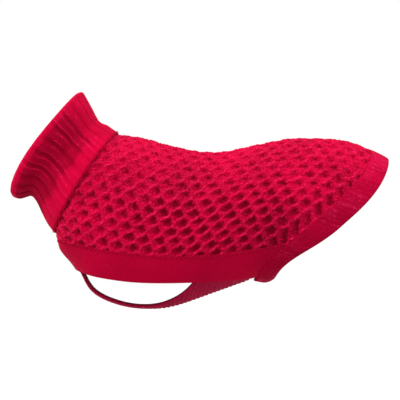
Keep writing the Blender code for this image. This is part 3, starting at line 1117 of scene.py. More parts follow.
class HoneycombRecipe(Recipe):
    """Rows of staggered pits under pointed ridges, as tuck stitches pull them."""

    drift_reach: float = 2.5
    lump_scale: float = 420.0
    corner_blend: float = 0.8
    # Ridges stand higher, and carry more painted highlight, on one side of each pit than on the other.
    ridge_side: Ease = Ease(-12.0, 8.0, 0.35, 1.0)
    closing: float = 3.0
    ridge_foot: float = 0.4
    closed_drop: float = 0.4
    pit_head: float = 4.5
    pit_side: tuple[float, float] = (-6.5, 2.5)
    size_reach: float = 3.0
    shallow_share: float = 0.6

    def cells(self, mark: str, pitch: str, drift_scale: float, ragged_scale: float) -> Term:
        """How many cells from the cloth's start a point lies, with a slow drift and a ragged yarn.

        Args:
            mark: The cloth's mark of the distance.
            pitch: The size that one cell takes up.
            drift_scale: The drift's lumps to a metre.
            ragged_scale: The raggedness's lumps to a metre.

        Returns:
            The number of cells.
        """
        place = self.graph.term("GeometryNodeInputPosition")
        drift = self.graph.noise(place, drift_scale, detail=1.0) - 0.5
        ragged = self.graph.noise(place, ragged_scale) - 0.5
        number = self.mark(mark) / self.size(pitch) + drift * self.size("Unevenness") * self.drift_reach
        return number + ragged * self.size("Raggedness") / self.size(pitch)

    def pit_at(self, course: Term, wale: Term, shift: float) -> tuple[Term, Term, Term]:
        """The pits of one of the two sets that stagger.

        Args:
            course: Cells along the course.
            wale: Rows along the wale.
            shift: 0 for one set, 1 for the other.

        Returns:
            How far the nearest pit's middle is along the course and along the wale, and its own random share.
        """
        graph = self.graph
        cell = (course - shift / 2).nearest()
        row = ((wale - shift) / 2.0).nearest()
        along = (course - shift / 2 - cell) * self.size("Cell length")
        down = (wale - shift - row * 2.0) * self.size("Row pitch")
        corner = graph.term("ShaderNodeCombineXYZ", {0: cell, 1: row, 2: self.size("Seed") + shift})
        return along, down, graph.term("ShaderNodeTexWhiteNoise", {"Vector": corner}, noise_dimensions="3D")

    def edge_of(self, squares: Sequence[Term], along: Term) -> Term:
        """The distance from a cell's edge.

        Args:
            squares: Squares of the distances from the two nearest pits.
            along: The distance from the nearest pit's middle along the course.

        Returns:
            The distance.
        """
        half_cell = self.size("Cell length") * 0.5
        pitch = self.size("Row pitch")
        apart = self.graph.math("SQRT", half_cell * half_cell + pitch * pitch) * 2.0
        between = (squares[0] - squares[1]).size() / apart
        return self.graph.math("SMOOTH_MIN", between, half_cell - along.size(), self.corner_blend)

    def pit_of(self, edge: Term, along: Term, down: Term, chance: Term) -> Term:
        """The depth of a pit: it drops from the ridge over it and rises to the next one.

        Args:
            edge: The distance from the cell's edge.
            along: The distance from the pit's middle along the course.
            down: The distance from it along the wale.
            chance: The pit's own random share.

        Returns:
            The depth from 0 to about 1.
        """
        graph = self.graph
        opening, sill = self.mark("opening"), self.size("Sill depth")
        closed = graph.math("MAXIMUM", (1.0 - opening) * self.closing, 0.0)
        drop = graph.ramp(edge, closed + self.ridge_foot, closed * self.closed_drop + self.size("Drop width"))
        tail = opening * self.size("Pit tail") - self.pit_head
        slope = graph.ramp(down, -self.pit_head, tail, 1.0, sill)
        slope = slope * graph.ramp(along, *self.pit_side, sill, 1.0)
        size = (chance - 0.5) * self.size("Unevenness") * self.size_reach + 1.0
        return drop * slope * size * (opening * (1 - self.shallow_share) + self.shallow_share)

    def build(self) -> None:
        """Builds the tree: the relief of the cells, with painted shade in the pits and a painted highlight on
        the ridges as marks that the dye reads.
        """
        graph = self.graph
        course = self.cells("course", "Cell length", drift_scale=11.0, ragged_scale=310.0)
        wale = self.cells("wale", "Row pitch", drift_scale=13.5, ragged_scale=370.0)
        first = self.pit_at(course, wale, 0.0)
        second = self.pit_at(course, wale, 1.0)
        squares = [along * along + down * down for along, down, _ in (first, second)]
        is_second = graph.math("LESS_THAN", squares[1], squares[0])
        along, down, chance = (a + (b - a) * is_second for a, b in zip(first, second))
        edge = self.edge_of(squares, along)
        crest = graph.bell(edge, self.size("Ridge width")) * graph.ramp(along * down, *self.ridge_side)
        pit = self.pit_of(edge, along, down, chance)
        place = graph.term("GeometryNodeInputPosition")
        lumps = (graph.noise(place, self.lump_scale) - 0.5) * self.size("Lumps")
        height = crest * self.size("Ridge height") - pit * self.size("Pit depth") + lumps
        cloth = self.raised(graph.math("MAXIMUM", height, self.size("Floor")))
        # Painted shade: the pits' depth and the cloth's shade mark; painted highlight: the ridges.
        cloth = self.keep(cloth, PAINTED_SHADE, pit * self.mark("relief") + self.mark("shade"))
        self.end(self.keep(cloth, PAINTED_HIGHLIGHT, crest * self.mark("relief")))


class RibRecipe(Recipe):
    """Ribs that stand up between grooves, with finer wales on them."""

    wander_scale: float = 22.0
    uneven_scale: float = 45.0
    least_height: float = 0.75
    uneven_reach: float = 0.5
    # The lines along the ribs' edges are painted highlights, which lift the painted shade under them.
    line_width: float = 0.035
    line_scale: float = 50.0
    line_break: Ease = Ease(0.35, 0.6)
    line_cover: float = 0.8
    patch_scale: float = 60.0
    patch_edge: tuple[float, float] = (0.48, 0.56)

    def build(self) -> None:
        """Builds the tree: grooves at whole numbers of the cloth's rib mark."""
        graph = self.graph
        place = graph.term("GeometryNodeInputPosition")
        wander = (graph.noise(place, self.wander_scale, detail=1.0) - 0.5) * self.size("Unevenness")
        phase = self.mark("rib") + wander
        edge = 0.5 - (phase.fraction() - 0.5).size()
        share = graph.math("MINIMUM", edge / self.size("Shoulder"), 1.0)
        rib = share * (2.0 - share)
        wale = 1.0 - ((phase * self.size("Wales")).fraction() * 2.0 - 1.0).size()
        uneven = graph.noise(place, self.uneven_scale) * self.uneven_reach + self.least_height
        cloth = self.raised(rib * self.size("Rib height") * uneven + wale * self.size("Wale height"))
        # Painted highlights: broken lines along the ribs' edges and the tops of the wales.
        broken = graph.ramp(graph.noise(place, self.line_scale, detail=1.0), *self.line_break)
        line = graph.bell(edge - self.size("Line place"), self.line_width) * broken * self.size("Line shine")
        plain = 1.0 - self.size("Patchiness")
        patch = graph.ramp(graph.noise(place, self.patch_scale, detail=1.0), *self.patch_edge, plain, 1.0)
        crest = graph.math("MAXIMUM", wale * rib * patch * self.size("Wale shine"), line)
        # Painted shade: the grooves and the cloth's shade mark, lifted under the highlight lines.
        pit = (1.0 - rib) * self.mark("relief") * self.size("Groove shade") + self.mark("shade")
        cloth = self.keep(cloth, PAINTED_SHADE, pit * (1.0 - line * self.line_cover))
        self.end(self.keep(cloth, PAINTED_HIGHLIGHT, crest * self.mark("relief")))


class StitchRecipe(Recipe):
    """Short arched yarns, one at each point of a seam, leaning one way and the other in turn."""

    arch_steps: int = 5
    yarn_sides: int = 6
    handle_reach: float = 0.6
    handle_rise: float = 1.33

    def build(self) -> None:
        """Builds the tree: an arched yarn, set on each point by the seam's run and the cloth's normal."""
        graph = self.graph
        half = self.size("Stitch length") * (MM / 2)
        lift = self.size("Rise") * (MM * self.handle_rise)
        reach = half * self.handle_reach
        arch = graph.term(
            "GeometryNodeCurvePrimitiveBezierSegment",
            {
                "Resolution": self.arch_steps,
                "Start": graph.vector(half * -1.0),
                "Start Handle": graph.vector(reach * -1.0, lift),
                "End Handle": graph.vector(reach, lift),
                "End": graph.vector(half),
            },
        )
        section = {"Resolution": self.yarn_sides, "Radius": self.size("Yarn radius") * MM}
        ring = graph.term("GeometryNodeCurvePrimitiveCircle", section)
        sweep = {"Curve": arch, "Profile Curve": ring, "Fill Caps": True}
        yarn = graph.term("GeometryNodeCurveToMesh", sweep)
        swing = (graph.term("GeometryNodeInputIndex") / 2.0).fraction() * 4.0 - 1.0
        spin = graph.term("FunctionNodeEulerToRotation", {0: graph.vector(0.0, swing * self.size("Lean"))})
        ways = {0: self.mark("outward", "FLOAT_VECTOR"), 1: self.mark("onward", "FLOAT_VECTOR")}
        turn = graph.term("FunctionNodeAxesToRotation", ways, primary_axis="Z", secondary_axis="X")
        turn = graph.term("FunctionNodeRotateRotation", {0: turn, 1: spin}, rotation_space="LOCAL")
        spots = {"Points": self.incoming(), "Instance": yarn, "Rotation": turn}
        self.end(graph.term("GeometryNodeInstanceOnPoints", spots))


def set_mark(mesh: bpy.types.Mesh, label: str, values: Grid) -> None:
    """Stores a value or a direction on each point of a mesh.

    Args:
        mesh: The mesh.
        label: The mark's name.
        values: One row for each point, of one column or three.
    """
    kind, key = ("FLOAT", "value") if values.shape[1] == 1 else ("FLOAT_VECTOR", "vector")
    mesh.attributes.new(label, kind, "POINT").data.foreach_set(key, values.ravel())


def linked(name: str, data: bpy.types.ID) -> bpy.types.Object:
    """Makes an object in the scene.

    Args:
        name: Its name.
        data: Its mesh, light or camera.

    Returns:
        The object.
    """
    thing = bpy.data.objects.new(name, data)
    bpy.context.scene.collection.objects.link(thing)
    return thing


def triangles_of(piece: bpy.types.Object) -> int:
    """How many triangles a piece has."""
    return sum(len(face.vertices) - 2 for face in piece.data.polygons)


@dataclass
class Cloth:
    """A fine closed wall between an outer and an inner grid of points, with marks for relief and dye."""

    name: str
    outer: Grid
    inner: Grid
    outward: Grid
    uv: Grid
    marks: dict[str, Grid] = field(default_factory=dict)
    meeting: float = 0.05
    rim_share: float = 0.36

    def close_rows(self) -> Grid:
        """Joins each row whose ends meet.

        Returns:
            Whether each row is closed.
        """
        closed = np.linalg.norm(self.outer[:, 0] - self.outer[:, -1], axis=1) < self.meeting
        for grid in (self.outer, self.inner):
            grid[closed, -1] = grid[closed, 0]
        return closed

    def round_rims(self, radius: float) -> Grid:
        """Rounds the wall's rims: its first and last row, and the ends of the rows that aren't closed.

        Args:
            radius: How far in the rounding starts.

        Returns:
            Each point's distance from the nearest rim.
        """
        down, along = run_of(self.outer, axis=0), run_of(self.outer, axis=1)
        side = np.minimum(along, along[:, -1:] - along)
        side[self.close_rows()] = np.inf
        distance = np.minimum(side, np.minimum(down, down[-1:] - down))
        near = np.clip(1 - distance / radius, 0, 1)
        sink = (1 - np.sqrt(1 - near**2))[..., None] * self.rim_share * (self.inner - self.outer)
        self.outer = self.outer + sink
        self.inner = self.inner - sink
        return distance

    def build(self, material: bpy.types.Material) -> bpy.types.Object:
        """Makes the object. The inner face has one point for each coarse step of the outer one.

        Args:
            material: Its material.

        Returns:
            The piece, a closed wall.
        """
        step = COARSE_STEP
        closed = self.close_rows()
        rows, columns = self.outer.shape[:2]
        spots = np.arange(rows * columns).reshape(rows, columns)
        coarse = self.inner[::step, ::step]
        top = spots.copy()
        low = spots.size + np.arange(coarse[..., 0].size).reshape(coarse.shape[:2])
        top[closed, -1] = top[closed, 0]
        low[closed[::step], -1] = low[closed[::step], 0]
        faces, corners = [], []
        for ids, at, turn in ((top, spots, 1), (low, spots[::step, ::step], -1)):
            faces += quads_of(ids)[:, ::turn].tolist()
            corners += quads_of(at)[:, ::turn].tolist()
        soft = len(faces)
        open_rows = ~(closed[:-1] & closed[1:])
        all_open = np.full(columns, True)
        for high, base, at, turn, is_open in (
            (top[0], low[0], spots[0], -1, all_open),
            (top[-1], low[-1], spots[-1], 1, all_open),
            (top[:, 0], low[:, 0], spots[:, 0], 1, open_rows),
            (top[:, -1], low[:, -1], spots[:, -1], -1, open_rows),
        ):
            for k in range(len(base) - 1):
                part = slice(k * step, (k + 1) * step + 1)
                if is_open[part][:step].any():
                    spot = at[part].tolist()
                    faces.append((high[part].tolist() + [int(base[k + 1]), int(base[k])])[::turn])
                    corners.append((spot + [spot[-1], spot[0]])[::turn])
        points = np.concatenate([self.outer.reshape(-1, 3), coarse.reshape(-1, 3)]) * MM
        return self.mesh(points, faces, corners, soft, material)

    def tube(self, material: bpy.types.Material) -> bpy.types.Object:
        """Joins the rows into a closed tube. The first and last row are the same, and each row closes.

        Args:
            material: Its material.

        Returns:
            The object.
        """
        rows, columns = self.outer.shape[:2]
        spots = np.arange(rows * columns).reshape(rows, columns)
        ids = spots.copy()
        ids[:, -1] = ids[:, 0]
        ids[-1] = ids[0]
        faces, corners = quads_of(ids)[:, ::-1].tolist(), quads_of(spots)[:, ::-1].tolist()
        return self.mesh(self.outer.reshape(-1, 3) * MM, faces, corners, len(faces), material)

    def mesh(
        self,
        points: Grid,
        faces: list[list[int]],
        corners: list[list[int]],
        soft: int,
        material: bpy.types.Material,
    ) -> bpy.types.Object:
        """Makes a linked object from faces, without the points that no face uses.

        Args:
            points: Points in metres.
            faces: Each face's points.
            corners: Where each face's corners lie in the grid.
            soft: How many of the faces, from the first, are smooth.
            material: The material.

        Returns:
            The object.
        """
        used = np.unique(np.fromiter(chain.from_iterable(faces), int))
        place = np.full(len(points), -1)
        place[used] = np.arange(len(used))
        mesh = bpy.data.meshes.new(self.name)
        mesh.from_pydata(points[used].tolist(), [], [place[face].tolist() for face in faces])
        mesh.polygons.foreach_set("use_smooth", np.arange(len(faces)) < soft)
        flat = self.uv.reshape(-1, 2)[np.fromiter(chain.from_iterable(corners), int)]
        mesh.uv_layers.new(name=UV_NAME).data.foreach_set("uv", flat.ravel())
        count = self.outer[..., 0].size
        on_face = used[used < count]
        for label, grid in {"outward": self.outward, **self.marks}.items():
            values = grid.reshape(count, -1)[on_face]
            set_mark(mesh, label, np.pad(values, ((0, len(used) - len(values)), (0, 0))))
        mesh.materials.append(material)
        mesh.update()
        return linked(self.name, mesh)


@dataclass
class Piece:
    """One cut piece of the sweater and what is sewn along it."""

    form: GarmentForm
    collar: CollarForm
    node: str
    slot: str
    finish: KnitFinish
    flat: tuple[float, float]
    area: float | None
    held: str = "stretched"
    trims: list[bpy.types.Object] = field(default_factory=list)

    def shape(self, material: bpy.types.Material) -> bpy.types.Object:
        """Makes the piece's mesh, in each kind of piece."""
        raise NotImplementedError

    def build(self) -> bpy.types.Object:
        """Makes the piece, dresses it, hides the part it stands for and sets it on the body.

        Returns:
            The finished piece.
        """
        piece = self.shape(self.finish.material())
        for label in FORM_MARKS:
            mark = piece.data.attributes.get(label)
            if mark:
                piece.data.attributes.remove(mark)
        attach(piece, BODY)
        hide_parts(self.node)
        log.info("%s: %d triangles", piece.name, triangles_of(piece))
        return piece

    def declare(self, piece: bpy.types.Object) -> None:
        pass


@dataclass
class BodyPanel(Piece):
    """The honeycomb knit of the back, the flanks and the upper chest.

    Its pits open from the back down to the band and from the chest to the flanks, as the knit stretches.
    """

    wall: float = 3.0
    row_spacing: float = 1.2
    half_girth: float = 180.0
    columns: int = 312
    course_lean: float = 0.4167
    rim_radius: float = 1.1
    knit: HoneycombSizes = HoneycombSizes()
    low_from: float = 30.0
    low_to: float = 95.0
    chest_course: float = 55.0
    back_opening: float = 0.76
    low_opening: float = 0.3
    low_power: float = 1.6
    chest_share: float = 0.54
    # Painted shade, darker towards the bottom of the flanks.
    shade_from: float = 0.75
    low_shade: float = 0.2
    relief_from: float = 0.3
    relief_to: float = 1.7

    def places(self) -> tuple[Grid, Grid]:
        """Places of whole rings at the neck, then of rows that are open below along the top of the leg band.

        Returns:
            Stations and angles, as grids.
        """
        start = self.form.chest_station(BAND_TOP_LINE)
        closed = np.linspace(0, start, steps_in(start, self.row_spacing), endpoint=False)
        stations, angles = self.form.edge(BAND_TOP_LINE, steps_in(self.form.rear_seam, self.row_spacing) + 1)
        stations = np.concatenate([closed, stations])
        angles = np.concatenate([np.full(len(closed), HALF_TURN), angles])
        share = both_ways(shares(self.half_girth, 2 * self.half_girth / self.columns))
        return np.repeat(stations[:, None], len(share), axis=1), angles[:, None] * share

    def shape(self, material: bpy.types.Material) -> bpy.types.Object:
        """Makes the panel, with the honeycomb laid along its leaning courses.

        Args:
            material: Its material.

        Returns:
            The panel.
        """
        outer, outward, inner = self.form.wall(*self.places(), 0.0, self.wall)
        steps = np.diff(outer, axis=1)
        arc = np.hypot(steps[..., 1], steps[..., 2] * math.hypot(1, self.course_lean))
        wale = np.cumsum(np.pad(arc, ((0, 0), (1, 0))), axis=1)
        wale = np.abs(wale - wale[:, wale.shape[1] // 2, None])
        course = outer[..., 0] - self.course_lean * outer[..., 2]
        cloth = Cloth("body_honeycomb", outer, inner, outward, np.stack([course, wale], -1))
        edge = cloth.round_rims(self.rim_radius)
        low = rise(wale, self.low_from, self.low_to)
        opening = self.back_opening + self.low_opening * low**self.low_power
        back = rise(course, -self.chest_course, self.chest_course)
        cloth.marks = {
            "course": course,
            "wale": wale,
            "opening": opening * (self.chest_share + (1 - self.chest_share) * back),
            "relief": rise(edge, self.relief_from, self.relief_to),
            # Painted shade, darker towards the bottom of the flanks.
            "shade": self.low_shade * rise(low, self.shade_from, 1),
        }
        piece = cloth.build(material)
        HoneycombRecipe("honeycomb", self.knit, material).run(piece)
        return piece


class TubeRing(NamedTuple):
    """A ring of the collar's tube: how far it is from the fold and under the outer face, and its relief."""

    place: Grid | float
    depth: Grid | float
    relief: Grid | float


FREE_RIM = ((0.15, 1.1, 0.25), (0.5, 0.65, 0.4), (1.1, 0.3, 0.55), (1.9, 0.1, 0.7))
LINING_RIM = ((0.7, 0.0, 0.0), (0.1, 0.55, 0.1), (0.0, 1.1, 0.2))
LINING_SHARES = (0.0, 0.15, 0.3, 0.45, 0.6, 0.75, 0.9, 0.97)
SEAM_RIM = (1.7, 1.3)


@dataclass
class Collar(Piece):
    """The turn-down collar: one tube of rib knit, folded once."""

    ribs: int = 25
    rib_columns: int = 24
    scallop: float = 1.2
    fold_gap_nape: float = 1.0
    fold_gap_throat: float = 6.5
    fold_gap_length: float = 16.0
    layer_gap: float = 0.8
    seam_gap: float = 0.3
    seam_rim: float = 0.7
    free_rim: float = 2.8
    outer_rings: int = 52
    fold_rings: int = 13
    inner_rings: int = 26
    lining_rings: int = 7
    pressed_share: float = 0.4
    pressed_layers: float = 1.2
    rim_relief: float = 0.8
    rim_share: float = 1 / 12
    inner_relief: float = -0.35
    seam_fade: float = 4.0
    fold_relief: float = 0.2
    fold_fade: float = 6.0
    # Painted shade over the middle of the outer layer, fading before the free end and weaker at the nape.
    shade_depth: float = 0.7
    shade_from: float = 0.06
    shade_to: float = 0.81
    shade_sway: float = 0.025
    sway_turn: float = 2.4
    shade_fade: float = 0.16
    nape_shade: tuple[float, float, float] = (0.05, 0.55, 0.2)
    knit: RibSizes = RibSizes(
        rib_height=1.1,
        unevenness=0.12,
        shoulder=0.42,
        wales=4.0,
        wale_height=0.14,
        wale_shine=0.3,
        patchiness=0.5,
        line_place=0.24,
        line_shine=0.72,
        groove_shade=0.24,
    )

    def fold_gap(self, angle: Grid, place: float) -> Grid:
        """The air between the two layers, fuller at the throat and at the fold.

        Args:
            angle: Angles round the neck.
            place: The distance from the fold.

        Returns:
            The gap at each angle.
        """
        at_fold = self.fold_gap_nape + (self.fold_gap_throat - self.fold_gap_nape) * (1 - np.cos(angle)) / 2
        fade = max(0.0, 1 - place / self.fold_gap_length) ** 2
        return self.layer_gap + (at_fold - self.layer_gap) * fade

    def pressed(self, ring: TubeRing, angle: Grid) -> TubeRing:
        """A ring with the free end's press on it, which the outer face takes whole and the lining in part.

        Args:
            ring: The ring as the tube has it.
            angle: Angles round the neck.

        Returns:
            The pressed ring, with a value at each angle.
        """
        place, depth = (np.broadcast_to(value, angle.shape) for value in (ring.place, ring.depth))
        wall = self.collar.wall
        part = np.select([depth < wall / 2, depth < self.pressed_layers * wall], [1.0, self.pressed_share])
        press = self.collar.press(place, angle) * part
        return TubeRing(place, depth + press, ring.relief * (1 - self.pressed_share * press))

    def rings(self, angle: Grid, free: Grid) -> list[TubeRing]:
        """The tube's rings, from the free edge over the fold to the neck seam and back inside.

        Args:
            angle: Angles round the neck.
            free: The free edge's distance from the fold.

        Returns:
            The rings, with the first one again at the end.
        """
        wall = self.collar.wall
        bend = self.fold_gap(angle, 0.0) / 2
        end = self.collar.neck_seam() - self.seam_gap / 2
        rows = [(free - back, sink, relief) for back, sink, relief in FREE_RIM]
        for share in np.linspace(1, 0, self.outer_rings):
            relief = self.rim_relief + (1 - self.rim_relief) * min(1, (1 - share) / self.rim_share)
            rows.append((share * (free - self.free_rim), 0.0, relief))
        for turn in np.linspace(0, HALF_TURN, self.fold_rings + 2)[1:-1]:
            sink = (wall + bend) * (1 - np.cos(turn))
            rows.append((-(wall + bend) * np.sin(turn), sink, math.cos(turn / 2) ** 2))
        for place in np.linspace(0, end - self.seam_rim, self.inner_rings):
            relief = min(1, (end - place) / self.seam_fade, self.fold_relief + place / self.fold_fade)
            rows.append((place, 2 * wall + self.fold_gap(angle, place), self.inner_relief * relief))
        rows += [(end, walls * wall + self.fold_gap(angle, end), 0.0) for walls in SEAM_RIM]
        for place in np.linspace(end - self.seam_rim, 0, self.lining_rings):
            rows.append((place, wall + self.fold_gap(angle, place), 0.0))
        rows.append((-bend, wall + bend, 0.0))
        rows += [(share * self.collar.length(), wall, 0.0) for share in LINING_SHARES]
        rows += [(free - back, wall - sink, relief) for back, sink, relief in LINING_RIM]
        made = [self.pressed(TubeRing(*row), angle) for row in rows]
        return made + made[:1]

    def shade(self, down: Grid, angle: Grid, phase: Grid) -> Grid:
        """How much painted shade darkens the outer layer between the fold and its free end, most at the
        throat.

        Args:
            down: Shares of the outer layer's length from the fold.
            angle: Angles round the neck.
            phase: Ribs round the neck.

        Returns:
            The painted shade at each point.
        """
        end = self.shade_to + self.shade_sway * np.sin(phase * self.sway_turn)
        shade = self.shade_depth * rise(down, 0, self.shade_from) * rise(end - down, 0, self.shade_fade)
        return shade * rise(1 - np.cos(angle), *self.nape_shade)

    def shape(self, material: bpy.types.Material) -> bpy.types.Object:
        """Makes one closed wall: up inside the neck, over the fold and down outside.

        Args:
            material: Its material.

        Returns:
            The collar.
        """
        angle = np.linspace(0, FULL_TURN, self.ribs * self.rib_columns + 1)
        phase = angle * self.ribs / FULL_TURN
        crown = rise(0.5 - np.abs(phase % 1 - 0.5), 0, self.knit.line_place)
        length = self.collar.length()
        rings = self.rings(angle, length - self.scallop * (1 - crown))
        made = [self.collar.point(ring.place, ring.depth, angle) for ring in rings]
        outer, outward = (np.array(grids) for grids in zip(*made))
        rib = np.repeat(phase[None], len(rings), axis=0)
        uv = np.stack([rib * self.finish.wale * self.knit.wales, run_of(outer)], -1)
        cloth = Cloth("rib_collar", outer, outer, outward, uv)
        down = np.array([ring.place for ring in rings]) / length
        relief = np.array([ring.relief for ring in rings])
        # The shade mark is painted shade.
        cloth.marks = {"relief": relief, "rib": rib, "shade": self.shade(down, angle, phase)}
        piece = cloth.tube(material)
        RibRecipe("collar_ribs", self.knit, material).run(piece)
        return piece


@dataclass
class LegBand(Piece):
    """The fine band along the lower edge, from the left rear round the chest to the right rear."""

    wall: float = 2.0
    face: float = -0.2
    tuck: float = 0.6
    spacing: float = 1.35
    height: float = 33.0
    rib_pitch: float = 2.6
    rim_radius: float = 1.2
    relief_to: float = 2.0
    knit: RibSizes = RibSizes(rib_height=0.12, unevenness=2.0)

    def shape(self, material: bpy.types.Material) -> bpy.types.Object:
        """Makes rows across the band, from its top line to its hem.

        Args:
            material: Its material.

        Returns:
            The band.
        """
        count = steps_in(self.form.rear_seam, self.spacing) + 1
        top, hem = self.form.edge(BAND_TOP_LINE, count), self.form.edge(HEM_LINE, count)
        across = shares(self.height, self.spacing)
        across[0] = -self.tuck / self.height
        station, right = (t[:, None] * (1 - across) + h[:, None] * across for t, h in zip(top, hem))
        outer, outward, inner = self.form.wall(*both_sides(station, right), self.face, self.wall)
        along, down = run_of(outer, axis=0), run_of(outer, axis=1)
        cloth = Cloth("leg_band_knit", outer, inner, outward, np.stack([along, down], -1))
        edge = cloth.round_rims(self.rim_radius)
        cloth.marks = {"relief": rise(edge, 0, self.relief_to), "rib": along / self.rib_pitch}
        piece = cloth.build(material)
        RibRecipe("band_wales", self.knit, material).run(piece)
        return piece


@dataclass
class BellyPanel(Piece):
    """The strap between the front legs, which widens into the belly panel under the leg band."""

    wall: float = 1.8
    face: float = -3.0
    overlap: float = 5.0
    hem_lap: float = 2.5
    meets_hem_x: float = 47.0
    rows: int = 180
    half_width: float = 40.0
    spacing: float = 1.3
    line_places: int = 900
    rib_pitch: float = 4.4
    rim_radius: float = 1.0
    relief_to: float = 1.5
    rim_relief: float = 0.25
    smooth_share: float = 0.42
    smooth_fade: float = 20.0
    smooth_relief: float = 0.15
    knit: RibSizes = RibSizes(
        rib_height=0.85, unevenness=0.9, wales=2.0, wale_height=0.08, wale_shine=0.7, groove_shade=0.85
    )

    def edges(self) -> tuple[Grid, Grid]:
        """Where the panel's rows end: on the strap's edge, then a little over the hem.

        Returns:
            The rows' stations and their right edges' angles.
        """
        form = self.form
        first, last = form.chest_station(HEM_LINE) - self.overlap, form.rear_seam + self.overlap
        station = np.linspace(first, last, self.line_places)
        held = np.minimum(station, form.rear_seam)
        hem = form.angle_on_line(held, HEM_LINE)
        on_hem = form.smooth(held, hem)
        meets = float(np.interp(self.meets_hem_x, on_hem[:, 0], station))
        half_width = Spline([row.along for row in STRAP], STRAP)(rise(station, first, meets))[:, 1]

        def is_wide(angle: Grid) -> Grid:
            """Whether the form is wider than the strap at an angle of each section."""
            return form.smooth(station, angle)[:, 1] > half_width

        below = np.full(len(station), HALF_TURN)
        strap = turning_point(np.full(len(station), WIDEST_ANGLE), below, is_wide)
        lapped = hem - self.hem_lap / np.maximum(on_hem[:, 1], self.overlap)
        length = run_of(form.smooth(station, below))
        even = np.interp(shares(length[-1], length[-1] / self.rows) * length[-1], length, station)
        return even, np.interp(even, station, np.where(station < meets, strap, lapped))

    def shape(self, material: bpy.types.Material) -> bpy.types.Object:
        """Makes rows across the strap and the panel, ribbed most where the panel is wide.

        Args:
            material: Its material.

        Returns:
            The panel.
        """
        stations, angles = self.edges()
        share = both_ways(shares(self.half_width, self.spacing))
        station = np.repeat(stations[:, None], len(share), axis=1)
        angle = HALF_TURN + (HALF_TURN - angles[:, None]) * share
        outer, outward, inner = self.form.wall(station, angle, self.face, self.wall)
        along = run_of(outer, axis=0)
        along = np.repeat(along[:, len(share) // 2, None], len(share), axis=1)
        cloth = Cloth("belly_rib_panel", outer, inner, outward, np.stack([along, run_of(outer, axis=1)], -1))
        edge = cloth.round_rims(self.rim_radius)
        smooth_end = self.smooth_share * along.max()
        flat = rise(along, smooth_end, smooth_end + self.smooth_fade, self.smooth_relief)
        relief = rise(edge, 0, self.relief_to, self.rim_relief) * flat
        cloth.marks = {"relief": relief, "rib": along / self.rib_pitch}
        piece = cloth.build(material)
        RibRecipe("belly_ribs", self.knit, material).run(piece)
        return piece


@dataclass
class RearBand(Piece):
    """The fine band all round the rear opening."""

    wall: float = 2.2
    face: float = 0.5
    tuck: float = 0.6
    spacing: float = 1.2
    columns: int = 390
    rib_pitch: float = 5.1
    rim_radius: float = 1.4
    relief_to: float = 2.5
    # Painted shade, darker under the band than on top.
    low_shade: float = 0.55
    knit: RibSizes = RibSizes(
        rib_height=0.2, unevenness=0.6, wales=3.0, wale_height=0.12, wale_shine=0.9, patchiness=1.0
    )

    def shape(self, material: bpy.types.Material) -> bpy.types.Object:
        """Makes rings from the rear seam to the edge.

        Args:
            material: Its material.

        Returns:
            The band.
        """
        width = self.form.rear_edge - self.form.rear_seam
        across = shares(width, self.spacing)
        across[0] = -self.tuck / width
        angle = np.linspace(0, FULL_TURN, self.columns + 1)
        station, angle = np.meshgrid(self.form.rear_seam + width * across, angle, indexing="ij")
        outer, outward, inner = self.form.wall(station, angle, self.face, self.wall)
        around = run_of(outer, axis=1)
        around = np.repeat(around[len(around) // 2][None], len(around), axis=0)
        cloth = Cloth("rear_band_knit", outer, inner, outward, np.stack([around, run_of(outer)], -1))
        edge = cloth.round_rims(self.rim_radius)
        # Painted shade, darker under the band than on top.
        relief, shade = rise(edge, 0, self.relief_to), self.low_shade * rise(1 - np.cos(angle), 0, 1)
        cloth.marks = {"relief": relief, "rib": around / self.rib_pitch, "shade": shade}
        piece = cloth.build(material)
        RibRecipe("rear_wales", self.knit, material).run(piece)
        return piece


class SeamKind(Enum):
    """Where a row of stitches runs."""

    REAR = "rear_seam_stitches"
    BAND = "band_seam_stitches"
    COLLAR = "collar_edge_stitches"


BAND_STITCH = StitchSizes(stitch_length=3.2, rise=0.3, yarn_radius=0.36, lean=0.6)
COLLAR_STITCH = StitchSizes(stitch_length=2.6, rise=0.3, yarn_radius=0.32, lean=0.25)
REAR_STITCH = StitchSizes(stitch_length=3.2, rise=0.45, yarn_radius=0.3, lean=0.6)


